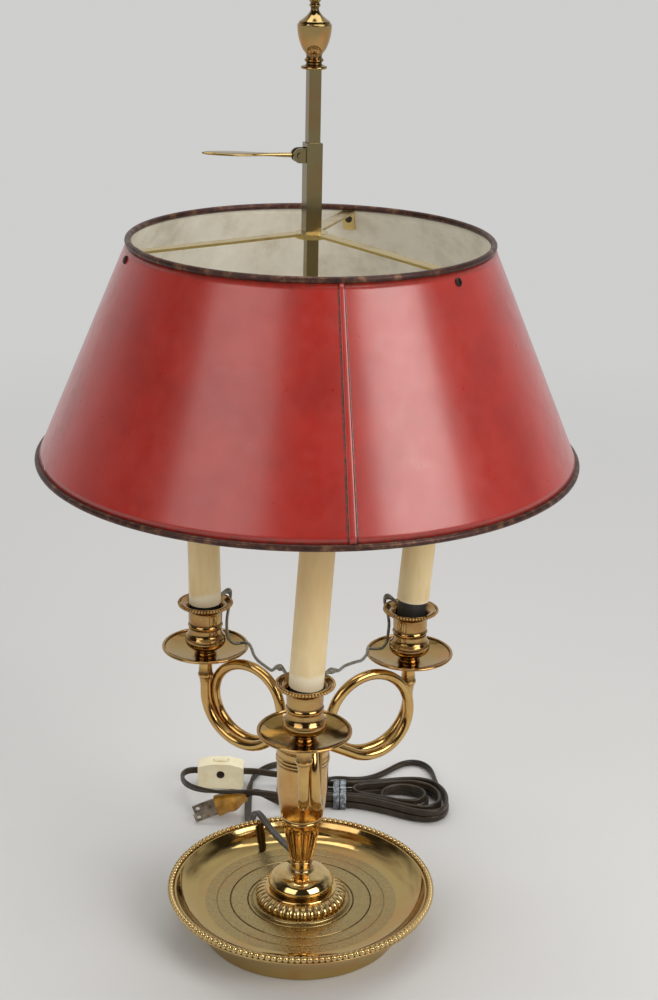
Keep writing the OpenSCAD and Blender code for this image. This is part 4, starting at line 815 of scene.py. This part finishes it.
FLANGE_R = 5.2
candle_feet = [(ARM_REACH * math.cos(math.radians(b)), ARM_REACH * math.sin(math.radians(b)))
               for b in ARM_BEARINGS]
for side, foot in zip(SIDES, candle_feet):
    turned("trumpet_" + side, raised(
        [(ARM_R + 0.05, -21)] + bend((ARM_R + 0.2, -21), (ARM_R + 0.5, -17.5), (4.7, -15.8), 8)
        + [(FLANGE_R, -15.4), (FLANGE_R, -14), (4.6, -13.4), (4.4, -8), (4.5, -3), (5, -1.4),
           (FLANGE_R, -0.02), (ARM_R + 0.05, -0.02)], PAN_Z),
        arm_finish, replaces=["arm_collars"] if side == "left" else (), rings=64, centre=foot,
        cut=0.2)

# ---- pans and cups ----
# A spun drip pan with a rolled edge and a turned cup with a beaded lip on each arm,
# clamped together by the socket's stem and nut.
PAN_ROLL, PAN_H, PAN_T = 0.9, 7, 1.2
PAN_R = 28.75 - PAN_ROLL
CUP_H, CUP_D, CUP_BORE, BULGE_R, CUP_BEAD, CUP_BEADS = 37.3, 36.5, 9.9, 13.15, 2.1, 54
cup_z = PAN_Z + PAN_T
seat_z = cup_z + CUP_H
bore_r = 3
pan_finish = brass("pan_brass", gold=(0.48, 0.33, 0.13), shine=0.07, patches=20, copper_share=0.4)
cup_finish = brass("cup_brass", gold=(0.50, 0.32, 0.12), copper=(0.34, 0.165, 0.06), shine=0.06,
                   patches=14, copper_share=0.6)
edge = [(PAN_R + PAN_ROLL * math.cos(a), PAN_H - PAN_ROLL + PAN_ROLL * math.sin(a))
        for a in np.radians(np.linspace(-70, 210, 15))]
b, r, h = BULGE_R, CUP_BORE, CUP_H
lip = CUP_D / 2 - CUP_BEAD - 0.15
for side, foot in zip(SIDES, candle_feet):
    turned("drip_pan_" + side, raised(
        [(bore_r, 0)] + bend((8, 0), (PAN_R - 8, 0.6), (PAN_R, PAN_H - 1.8), 18) + edge
        + bend((PAN_R - 1.6, PAN_H - 1.6), (PAN_R - 8.6, PAN_T + 0.6), (8, PAN_T - 0.02), 18)
        + [(bore_r, PAN_T - 0.02)], PAN_Z),
        pan_finish, replaces=["pan_" + side], rings=112, centre=foot, cut=0.2)
    turned("candle_cup_" + side, raised(
        [(bore_r, 0.02), (7.2, 0.02), (7.4, 1.4), (6.4, 2.2), (6.4, 3.4)]
        + bend((8.4, 4.2), (b + 1.6, 6), (b - 0.2, 11.4), 16) + [(b - 0.2, 12.6)]
        + bend((b - 1, 13.6), (r + 1, 15), (r + 0.9, 19), 10)
        + [(r + 1.5, 19.8), (r + 1.7, 20.6), (r + 1.4, 21.4), (r + 0.9, 22.2), (r + 1.2, 24)]
        + bend((r + 1.3, h - 8.5), (r + 1.7, h - 3.4), (lip, h - 2.6), 12) + [(lip, h - 0.9)]
        + bend((lip - 1.2, h - 1), (r + 0.6, h - 2.4), (r, h - 7.6), 10)
        + [(r, 23), (bore_r, 23)], cup_z),
        cup_finish, replaces=["cup_" + side], rings=112, centre=foot, cut=0.2)
    grown("cup_beads_" + side, bead_tree, cup_finish, "lamp", "brass",
          ["cup_bead_rims"] if side == "left" else (), Radius=(CUP_D / 2 - CUP_BEAD / 2) * MM,
          Centre=(foot[0] * MM, foot[1] * MM, (seat_z - CUP_BEAD / 2 - 0.6) * MM),
          Bead=CUP_BEAD / 2 * MM, Count=CUP_BEADS)

# ---- candles and sockets ----
# Cream card sleeves, yellowed by the bulbs' heat and, towards the top, darkened by painted
# shade from the shade above, slipped over black sockets with brass screw shells. Each
# candle leans a little and sits at its own height.
SOCKET_Z = cup_z + 26.3
CANDLE_R, CANDLE_T, CANDLE_LEN, SHELL_BORE, SHELL_LEN = 10.5, 0.9, 102, 12.2, 17
candle_foot = seat_z - SOCKET_Z
socket_len = candle_foot + CANDLE_LEN - 3
leans = {"front": (3.5, 0, -2.4), "right": (4, 0, 6), "left": (1, 180, -1.2)}

wax = Finish("cream_card", Subsurface_Weight=0.12, Subsurface_Radius=(0.004, 0.0025, 0.001))
height = wax.add("SeparateXYZ", out="Z", Vector=wax.add("TexCoord", out="Object"))
band = wax.spread(wax.math("ADD", height, wax.math("MULTIPLY", wax.noise(12, 3), 0.008)),
                  seat_z * MM + 0.0095, seat_z * MM + 0.0125)
streak = wax.noise(15, 3, 0.5, at=wax.place((1, 1, 0.3)))
aged_and_top_shade = wax.ramp(streak, (0.30, (0.72, 0.53, 0.26)), (0.52, (0.80, 0.65, 0.37)),
                (0.75, (0.70, 0.49, 0.22)))
# Darker and more amber towards the top: heat yellowing, and painted shade from the shade above.
heat_and_shade_at_top = wax.spread(height, (seat_z + 12) * MM, (seat_z + 70) * MM, 0, 0.65)
aged_and_top_shade = wax.mix(heat_and_shade_at_top, aged_and_top_shade, (0.60, 0.38, 0.15))
wax.shade(Base_Color=wax.mix(band, (0.84, 0.75, 0.55), aged_and_top_shade),
          Roughness=wax.spread(wax.noise(5, 4), 0.3, 0.7, 0.36, 0.52),
          Normal=wax.bump(wax.noise(2, 3), 0.02, 0.5))

black = Finish("black_socket", Roughness=0.5)
black.shade(Base_Color=black.ramp(black.noise(6, 4), (0.3, 0.012), (0.7, 0.035)))
shell = brass("shell_brass", gold=(0.75, 0.6, 0.28), shine=0.3, patches=6, copper_share=0.3)


def leaning(side, foot):
    tip, towards, _ = leans[side]
    return (Matrix.Translation((foot[0] * MM, foot[1] * MM, SOCKET_Z * MM))
            @ Matrix.Rotation(math.radians(towards), 4, "Z")
            @ Matrix.Rotation(math.radians(tip), 4, "Y"))


core_r, shell_r, shell_z = CANDLE_R - CANDLE_T - 0.3, SHELL_BORE / 2, socket_len - SHELL_LEN
threads = [(shell_r + (0.45 if k % 2 else 0.1), shell_z + 0.7 + k * 0.95) for k in range(17)]
for side, foot in zip(SIDES, candle_feet):
    up = candle_foot + leans[side][2]
    sleeve = turned("candle_sleeve_" + side, [
        (CANDLE_R - CANDLE_T, up), (CANDLE_R, up), (CANDLE_R, up + 30), (CANDLE_R, up + 65),
        (CANDLE_R, up + CANDLE_LEN), (CANDLE_R - CANDLE_T, up + CANDLE_LEN)],
        wax, slot="candle", replaces=["candle_" + side], rings=72, cut=0.3)
    core = turned("lamp_socket_" + side, [
        (3, 0), (core_r, 0), (core_r, socket_len), (shell_r + 0.6, socket_len),
        (shell_r + 0.6, shell_z), (3, shell_z)],
        black, slot="socket", replaces=["socket_" + side], rings=56, cut=0.3)
    cap = turned("bulb_shell_" + side, [
        (0, shell_z + 0.02), (shell_r + 0.55, shell_z + 0.02), (shell_r + 0.55, socket_len),
        *threads[::-1], (0, shell_z + 0.6)],
        shell, slot="screw_shell", replaces=["screw_shell_" + side], rings=56, cut=0.2)
    for piece in (sleeve, core, cap):
        piece.data.transform(leaning(side, foot))

# ---- link wires ----
# Two thin tinned wires run from the front cup round to the other two, each hooked
# over a cup's lip under a blob of solder.
link_routes = {
    "right": [
        (12.2, -70.6, 217.6, 2), (14.6, -69, 219, 2.4), (17, -67.4, 219.2, 4.2),
        (19.4, -65, 218.4, 2.8), (21.6, -60.6, 216.4, 2), (25.6, -46.5, 213, 2),
        (32.4, -30, 208, 2), (36, -21, 205, 2), (39.4, -2, 200, 2), (40.6, 16, 195, 2),
        (41.4, 29, 190.2, 2), (45.4, 36.4, 186.8, 2), (50.4, 39.4, 186, 2), (53.6, 40.2, 190, 2),
        (54.4, 40.6, 196, 2), (54.8, 41.6, 203, 2), (54, 43.8, 208, 2), (52.4, 46.6, 212.4, 2),
        (51.8, 48.9, 216.4, 2.2), (53.2, 48, 219.4, 4.2), (56.6, 45.6, 219, 2.4),
        (59.2, 43.8, 217.4, 2)],
    "left": [
        (-9.8, -70, 217.8, 2), (-11.6, -68.4, 219.8, 2.4), (-13.6, -66.8, 220.4, 4.4),
        (-15.8, -64.2, 219.4, 2.6), (-17.6, -60, 216, 2), (-19.6, -52, 211.6, 2),
        (-24.6, -30, 204.4, 2), (-29, -12, 199, 2), (-32.6, 6, 194.8, 2), (-35, 22, 192.4, 2),
        (-37.6, 34, 190, 2), (-41.4, 39.6, 187.8, 2), (-46.6, 41, 186.4, 2),
        (-50.8, 41.4, 189.4, 2), (-51.9, 42, 195, 2), (-52.2, 43.8, 201, 2),
        (-51.6, 47.2, 207, 2), (-50.6, 50.8, 211.8, 2), (-50.4, 53.6, 216.4, 2.2),
        (-51.6, 52.6, 219.2, 4.2), (-54.6, 50.4, 219, 2.4), (-56.4, 49, 217.8, 2)]}

solder = Finish("wire_and_solder", Metallic=0.55, Roughness=0.5)
lump = solder.noise(2.5, 5, 0.65)
solder.shade(
    Base_Color=solder.ramp(lump, (0.3, (0.07, 0.055, 0.04)), (0.5, (0.22, 0.21, 0.17)),
                           (0.75, (0.40, 0.39, 0.33))),
    Normal=solder.bump(lump, 0.3, 0.7))
for side, route in link_routes.items():
    line = through(route, 6)
    swept("link_wire_" + side + "_run", line[:, :3], line[:, 3] / 2 * 0.98, solder, "lamp",
          "link_wire", ["link_wire_" + side], 14)

# ---- shade ----
# A cone of sheet metal, enamelled red outside and cream inside, lapped and soldered
# along one seam and rolled over a wire at both edges.
SHADE_D, SHADE_TOP_D, SHADE_Z, SHADE_H, SHEET_T, ROLL_R = 330, 218, 333, 134.5, 0.6, 1.9
SEAM_BEARING, SEAM_W = -80.5, 5
cone_a = np.array([SHADE_D / 2 - ROLL_R, SHADE_Z + ROLL_R])
cone_b = np.array([SHADE_TOP_D / 2 - ROLL_R, SHADE_Z + SHADE_H - ROLL_R])
cone_len = np.linalg.norm(cone_b - cone_a)
cone_up = (cone_b - cone_a) / cone_len
cone_out = np.array([cone_up[1], -cone_up[0]])

red = Finish("red_enamel", Specular_IOR_Level=0.6, Coat_Weight=0.6, Coat_Roughness=0.2)
cloud = red.noise(38, 6, 0.62)
coat = red.ramp(cloud, (0.3, (0.33, 0.016, 0.010)), (0.52, (0.40, 0.020, 0.012)),
                (0.75, (0.44, 0.027, 0.018)))
grime = red.spread(red.noise(1.6, 6, 0.75), 0.56, 0.78, 0, 0.45)
coat = red.mix(grime, coat, (0.17, 0.012, 0.010))
edge = red.add("Attribute", out="Fac", settings={"attribute_name": "wear"})
rubbed = red.math("MULTIPLY", edge, red.spread(red.noise(3, 6, 0.7), 0.35, 0.62))
coat = red.mix(rubbed, coat, (0.075, 0.028, 0.016))
chips = red.add("TexVoronoi", Vector=red.place(), Scale=1 / (52 * MM), Randomness=1.0)
chip = red.math("LESS_THAN", chips, 0.019)
dents = red.bump(red.noise(46, 2), 0.5, 0.55)
red.shade(Base_Color=red.mix(chip, coat, (0.70, 0.42, 0.30)),
          Roughness=red.spread(red.noise(9, 6, 0.65), 0.3, 0.72, 0.27, 0.4),
          Normal=red.bump(red.noise(0.9, 4, 0.6), 0.012, 0.6, under=dents))

cream = Finish("cream_enamel", Roughness=0.55)
blotch = cream.noise(26, 6, 0.65)
inside = cream.ramp(blotch, (0.3, (0.56, 0.51, 0.40)), (0.5, (0.72, 0.68, 0.57)),
                    (0.72, (0.80, 0.77, 0.68)))
rust = cream.spread(cream.noise(3.2, 6, 0.8), 0.66, 0.75, 0, 0.8)
cream.shade(Base_Color=cream.mix(rust, inside, (0.20, 0.12, 0.06)),
            Normal=cream.bump(cream.noise(1.5, 5, 0.6), 0.03, 0.7))


def shade_sheet():
    """The lapped sheet: a thin cone wall whose outer face rises over the seam."""
    half = math.degrees(SEAM_W / 2 / (SHADE_D / 2))
    near = [-1.9, -1.45, -1.2, -1.05, -0.95, -0.85, -0.7, -0.4, 0, 0.4, 0.7, 0.85, 0.95, 1.05,
            1.2, 1.45, 1.9]
    angles = [SEAM_BEARING + half * f for f in near]
    angles += list(np.linspace(angles[-1], angles[0] + 360, 238)[1:-1])
    lift = [0, 0, 0, 0.03, 0.35, 0.72, 0.95, 1, 1, 1, 0.95, 0.72, 0.35, 0.03, 0, 0, 0]
    lift += [0] * (len(angles) - len(lift))
    low, high = ROLL_R * 0.9, cone_len - ROLL_R * 0.9
    stations = np.linspace(low, high, 34)
    points, wear = [], []
    offs = near + [9] * (len(angles) - len(near))
    for a, up, off in zip(np.radians(angles), lift, offs):
        for k, s in enumerate(stations):
            rise = up * 0.95 * (1 + 0.15 * math.sin(s * 0.19))
            for face in (1, -1):
                r, z = cone_a + cone_up * s + cone_out * (face * SHEET_T / 2
                                                          + (rise if face > 0 else 0))
                points.append((r * math.cos(a), r * math.sin(a), z))
                ends = max(0, 1 - min(s - low, high - s) / 4)
                wear.append(max(0.9 * ends, 1.5 if 0 < up < 0.8 or 1.05 < abs(off) < 1.3 else 0))
    m = len(stations)
    faces = []
    for i in range(len(angles)):
        a, b = i * m * 2, ((i + 1) % len(angles)) * m * 2
        for k in range(m - 1):
            p, q = 2 * k, 2 * k + 2
            faces += [(a + p, b + p, b + q, a + q), (a + p + 1, a + q + 1, b + q + 1, b + p + 1)]
        end = 2 * m - 2
        faces += [(a, a + 1, b + 1, b), (a + end, b + end, b + end + 1, a + end + 1)]
    piece = solid("shade_sheet", points, faces, red, "shade", "shade_paint", ["shade_shell"],
                  marks={"wear": wear})
    outward(piece)
    piece.data.materials.append(cream.material)
    for face in piece.data.polygons:
        if all(v % 2 for v in face.vertices):
            face.material_index = 1


shade_sheet()

rim = Finish("worn_rim", Metallic=0.45, Roughness=0.4)
rub = rim.noise(7, 6, 0.7)
rim.shade(Base_Color=rim.ramp(rub, (0.34, (0.025, 0.010, 0.008)), (0.52, (0.07, 0.024, 0.016)),
                              (0.7, (0.24, 0.13, 0.065))),
          Normal=rim.bump(rub, 0.15, 0.6))
for name, centre_at, node in (("lower_rim", cone_a, "shade_lower_roll"),
                              ("upper_rim", cone_b, "shade_upper_roll")):
    turned(name, [(centre_at[0] + ROLL_R * math.cos(a), centre_at[1] + ROLL_R * math.sin(a))
                  for a in np.radians(np.arange(0, 360, 20))],
           rim, "shade", "shade_edge", [node], rings=256, cut=0.05)

# ---- spider, rivets and clamp ----
# Three brass strips riveted to the shade carry a square hub. A square sleeve stands
# on it, and the lever's cam in the sleeve's window pinches the bar.
strip_finish = brass("strip_brass", gold=(0.62, 0.48, 0.19), copper=(0.46, 0.30, 0.11), shine=0.2,
                     patches=22, copper_share=0.3)

smooth_tree, given = tree_inputs("smooth_by_angle", Angle="Float")
joined = step(smooth_tree, "GeometryNodeMergeByDistance", Geometry=given["Geometry"],
              Distance=0.000002)
soft_edge = step(smooth_tree, "FunctionNodeCompare", settings={"operation": "LESS_THAN"},
                 _0=step(smooth_tree, "GeometryNodeInputMeshEdgeAngle"), _1=given["Angle"])
shaded = step(smooth_tree, "GeometryNodeSetShadeSmooth", settings={"domain": "FACE"},
              Geometry=joined, Shade_Smooth=True)
shaded = step(smooth_tree, "GeometryNodeSetShadeSmooth", settings={"domain": "EDGE"},
              Geometry=shaded, Shade_Smooth=soft_edge)
smooth_tree.links.new(shaded, smooth_tree.nodes.new("NodeGroupOutput").inputs[0])


def finished(node, finish):
    """A solid whose shape is already right keeps it and gets its finish."""
    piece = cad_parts[node]
    piece.data.materials.clear()
    piece.data.materials.append(finish.material)
    smoother = piece.modifiers.new("smooth_by_angle", "NODES")
    smoother.node_group = smooth_tree
    for item in smooth_tree.interface.items_tree:
        if item.in_out == "INPUT" and item.name == "Angle":
            smoother[item.identifier] = math.radians(32)


steel = Finish("zinc_steel", Metallic=1.0, Base_Color=(0.42, 0.41, 0.38))
steel.shade(Roughness=steel.spread(steel.noise(4, 4), 0.3, 0.7, 0.3, 0.5))
rivet_finish = Finish("dark_rivet", Metallic=0.7, Roughness=0.42)
rivet_finish.shade(Base_Color=rivet_finish.ramp(
    rivet_finish.noise(1.5, 4), (0.3, (0.018, 0.012, 0.01)), (0.7, (0.07, 0.05, 0.04))))
for node, finish in (("spider", strip_finish), ("shade_rivets", rivet_finish),
                     ("clamp_sleeve", bar_finish), ("lever_pin", bar_finish),
                     ("base_washer", steel), ("base_nut", steel), ("tie_rod", steel),
                     ("socket_stems", steel)):
    finished(node, finish)

PIN_Z, PIN_U = 515, 8.15
LEVER_LEN, LEAF_W, LEAF_T, ROOT_T, CAM_R, CAM_REACH, PIN_HOLE_R = 57.6, 14, 1.8, 3, 3.6, 0.7, 1.55


def clamp_lever():
    """A leaf whose crowned blade narrows to a slim neck and a round cam."""
    side = (bend((5, ROOT_T / 2), (LEVER_LEN * 0.3, ROOT_T / 2 - 0.2),
                 (LEVER_LEN * 0.48, LEAF_W * 0.34), 8)
            + bend((LEVER_LEN * 0.56, LEAF_W * 0.44), (LEVER_LEN * 0.72, LEAF_W * 0.58),
                   (LEVER_LEN * 0.86, LEAF_W * 0.36), 12)
            + bend((LEVER_LEN * 0.9, LEAF_W * 0.3), (LEVER_LEN * 0.97, LEAF_W * 0.16),
                   (LEVER_LEN - 0.2, 0.4), 8))
    ring = [(math.cos(a), math.sin(a)) for a in np.radians(np.arange(0, 360, 15))]
    points = []
    for x, half in [(3.4, ROOT_T / 2)] + side:
        thick = 1.3 if x < 9 else 1.3 + (LEAF_T / 2 - 1.3) * min(1, (x - 9) / 8)
        thick *= min(1, 0.45 + (LEVER_LEN - x) / 6)
        for c, s in ring:
            points.append((x, half * abs(c) ** 0.7 * (1 if c > 0 else -1),
                           thick * abs(s) ** 0.6 * (1 if s > 0 else -1)))
    faces = tube_faces(len(points) // len(ring), len(ring), inward=True)
    tilt = Matrix.Rotation(math.radians(-3), 4, "Y")
    leaf = solid("lever_leaf", points, faces, finial_finish, "lever", "brass")
    leaf.data.transform(tilt)
    outward(leaf)
    cam = turned("lever_cam", [(PIN_HOLE_R, -ROOT_T / 2), (CAM_R, -ROOT_T / 2),
                               (CAM_R, ROOT_T / 2), (PIN_HOLE_R, ROOT_T / 2)],
                 finial_finish, "lever", replaces=["clamp_lever"], rings=56,
                 shape=lambda r, z, a: np.full(len(a), r) if r < 2 else
                 -CAM_REACH * np.cos(a) + np.sqrt(r * r - (CAM_REACH * np.sin(a)) ** 2))
    cam.data.transform(Matrix.Rotation(math.pi / 2, 4, "X"))
    at = (Matrix.Rotation(math.radians(SHAFT_TURN + 180), 4, "Z")
          @ Matrix.Translation((PIN_U * MM, 0, PIN_Z * MM)))
    for piece in (leaf, cam):
        piece.data.transform(at)


clamp_lever()

# ---- tie ----
# A strip of soft grey-blue plastic wound twice round the hank's waist, with painted shade in
# the hollows of its crumples.
tie_finish = Finish("soft_tie", Roughness=0.5)
crumple_relief_and_shade = tie_finish.noise(3, 4, 0.6)
# The colour follows the crumples' relief: painted shade makes it dark in the hollows, and it is
# paler on the crests.
tie_finish.shade(
    Base_Color=tie_finish.ramp(crumple_relief_and_shade, (0.34, (0.06, 0.065, 0.07)), (0.5, (0.18, 0.20, 0.22)),
                               (0.68, (0.50, 0.56, 0.64))),
    Normal=tie_finish.bump(crumple_relief_and_shade, 0.5, 0.9))
TIE_FORWARD, TIE_HALF_T = 1.2, 0.42


def tie_wrap(name, x0, x1, replaces=()):
    """One crumpled turn of the strip, open at the table like a staple."""
    half = 2.75 * HANK_STEP + CORD_THICK / 2 + 0.9
    top = hank_layers[1] + CORD_WIDE / 2 + 0.4
    line = [(-half - 0.5, 0.1)] + bend((-half - 0.5, top - 3), (-half - 0.4, top + 0.6),
                                       (-half + 4, top + 0.5), 8)
    line += [(y, top + 0.5) for y in np.linspace(-half + 6, half - 6, 9)]
    line += bend((half - 4, top + 0.5), (half + 0.4, top + 0.6), (half + 0.5, top - 3), 8)
    line += [(half + 0.5, 0.1)]
    across = np.linspace(x0, x1, 9)
    points = []
    for k, (y, z) in enumerate(line):
        inward = np.array([y, z - top / 2]) / math.hypot(y, z - top / 2)
        for j, x in enumerate(across):
            crease = 0.24 * math.sin(j * 1.7 + k * 0.55) + 0.12 * math.sin(j * 3.1 - k)
            for push in (TIE_HALF_T, -TIE_HALF_T):
                points.append((hank_waist[0] + x + 0.25 * math.sin(k * 0.8),
                               hank_waist[1] - TIE_FORWARD + y + inward[0] * (push + crease * 0.8),
                               max(0.05, z + inward[1] * (push + crease * 0.8))))
    w, rows = len(across), len(line)

    def at(k, j, face):
        return (k * w + j) * 2 + face

    faces = []
    for k in range(rows - 1):
        for j in range(w - 1):
            faces += [(at(k, j, 0), at(k + 1, j, 0), at(k + 1, j + 1, 0), at(k, j + 1, 0)),
                      (at(k, j, 1), at(k, j + 1, 1), at(k + 1, j + 1, 1), at(k + 1, j, 1))]
        faces += [(at(k, 0, 0), at(k, 0, 1), at(k + 1, 0, 1), at(k + 1, 0, 0)),
                  (at(k, w - 1, 0), at(k + 1, w - 1, 0), at(k + 1, w - 1, 1), at(k, w - 1, 1))]
    for j in range(w - 1):
        faces += [(at(0, j, 0), at(0, j + 1, 0), at(0, j + 1, 1), at(0, j, 1)),
                  (at(rows - 1, j, 0), at(rows - 1, j, 1), at(rows - 1, j + 1, 1),
                   at(rows - 1, j + 1, 0))]
    piece = solid(name, points, faces, tie_finish, slot="tie", replaces=replaces)
    outward(piece)
    return piece


tie = [tie_wrap("tie_wrap_a", -4.6, -0.2), tie_wrap("tie_wrap_b", 0.6, 5, ["cord_tie"])]

# ---- in-line switch ----
# A cream two-part housing clamped by one screw, with a ribbed thumb wheel between its
# halves.
SWITCH_AT, WHEEL_Z, WHEEL_R, WHEEL_T, RIB_R = (-65.5, 188), 11.8, 10.3, 4, 0.42
ivory = Finish("ivory_plastic", Roughness=0.42, Subsurface_Weight=0.08,
               Subsurface_Radius=(0.003, 0.002, 0.001))
ivory.shade(
    Base_Color=ivory.ramp(ivory.noise(8, 5, 0.6), (0.3, (0.84, 0.74, 0.48)),
                          (0.55, (0.90, 0.82, 0.58)), (0.75, (0.92, 0.86, 0.66))),
    Normal=ivory.bump(ivory.noise(0.8, 3), 0.012, 0.6))
finished("switch_front", ivory)
finished("switch_back", ivory)
finished("switch_screw", rivet_finish)

rib_tree, given = tree_inputs("ribbed_wheel", Radius="Float", Width="Float", Ribs="Int",
                              Material="Material")
drum = step(rib_tree, "GeometryNodeMeshCylinder", Vertices=96, Radius=given["Radius"],
            Depth=given["Width"])
places = step(rib_tree, "GeometryNodeMeshCircle", Vertices=given["Ribs"], Radius=given["Radius"])
rib = step(rib_tree, "GeometryNodeMeshCylinder", Vertices=10, Radius=RIB_R * MM,
           Depth=given["Width"])
ribs = step(rib_tree, "GeometryNodeInstanceOnPoints", Points=places, Instance=rib)
ribs = step(rib_tree, "GeometryNodeRealizeInstances", Geometry=ribs)
joined = rib_tree.nodes.new("GeometryNodeJoinGeometry")
rib_tree.links.new(drum, joined.inputs[0])
rib_tree.links.new(ribs, joined.inputs[0])
wheel = step(rib_tree, "GeometryNodeSetMaterial", Geometry=joined.outputs[0],
             Material=given["Material"])
rib_tree.links.new(wheel, rib_tree.nodes.new("NodeGroupOutput").inputs[0])
wheel = grown("switch_thumbwheel", rib_tree, ivory, "wheel", "switch", ["switch_wheel"],
              smooth=False, Radius=(WHEEL_R - 0.4) * MM, Width=WHEEL_T * MM, Ribs=36)
wheel.data.transform(Matrix.Translation((SWITCH_AT[0] * MM, SWITCH_AT[1] * MM, WHEEL_Z * MM))
                     @ Matrix.Rotation(math.pi / 2, 4, "X"))

# ---- plug ----
# A moulded two-pin plug in clear amber plastic, lying so that its blades' tips touch
# the table.
PLUG_BACK, PLUG_BEARING, PLUG_TILT, PLUG_LEN = (-43.7, 140.9, 17.6), 189, 20, 24
amber = Finish("amber_plastic", Roughness=0.22, Transmission_Weight=0.45, Subsurface_Weight=0.4,
               Subsurface_Radius=(0.008, 0.004, 0.001))
amber.shade(
    Base_Color=amber.ramp(amber.noise(7, 4), (0.3, (0.36, 0.16, 0.012)),
                          (0.7, (0.68, 0.36, 0.04))),
    Normal=amber.bump(amber.noise(2.2, 3), 0.1, 0.5))


def plug_body():
    """A body lofted from a small rear end to a broad face, with finger grips."""
    stations = [(0.02, 3.2, 3.2), (0.5, 3.8, 3.8), (2.5, 4.2, 4.1), (5, 5.6, 4.7), (8, 7.8, 5.5),
                (10, 9.1, 6.1), (12, 9.4, 6.2), (13.5, 9.2, 6), (15, 8.8, 5.7), (17, 8.7, 5.6),
                (19, 8.8, 5.6), (21.5, 9.1, 5.8), (23.2, 9, 5.8), (23.8, 8.6, 5.4),
                (PLUG_LEN, 8, 4.9)]
    points = []
    ring = np.radians(np.arange(0, 360, 10))
    for x, wide, high in stations:
        for a in ring:
            c, s = math.cos(a), math.sin(a)
            points.append((x, wide * abs(c) ** 0.5 * np.sign(c), high * abs(s) ** 0.5 * np.sign(s)))
    faces = tube_faces(len(stations), len(ring), inward=True)
    piece = solid("plug_moulding", points, faces, amber, slot="plug", replaces=["plug_body"])
    piece.data.transform(Matrix.Translation(Vector(PLUG_BACK) * MM)
                         @ Matrix.Rotation(math.radians(PLUG_BEARING), 4, "Z")
                         @ Matrix.Rotation(math.radians(PLUG_TILT), 4, "Y"))
    outward(piece)
    return piece


plug = plug_body()
nickel = Finish("dull_blade", Metallic=1.0, Roughness=0.34)
nickel.shade(Base_Color=nickel.ramp(
    nickel.noise(5, 5), (0.3, (0.14, 0.10, 0.07)), (0.7, (0.42, 0.36, 0.28))))
finished("plug_blades", nickel)
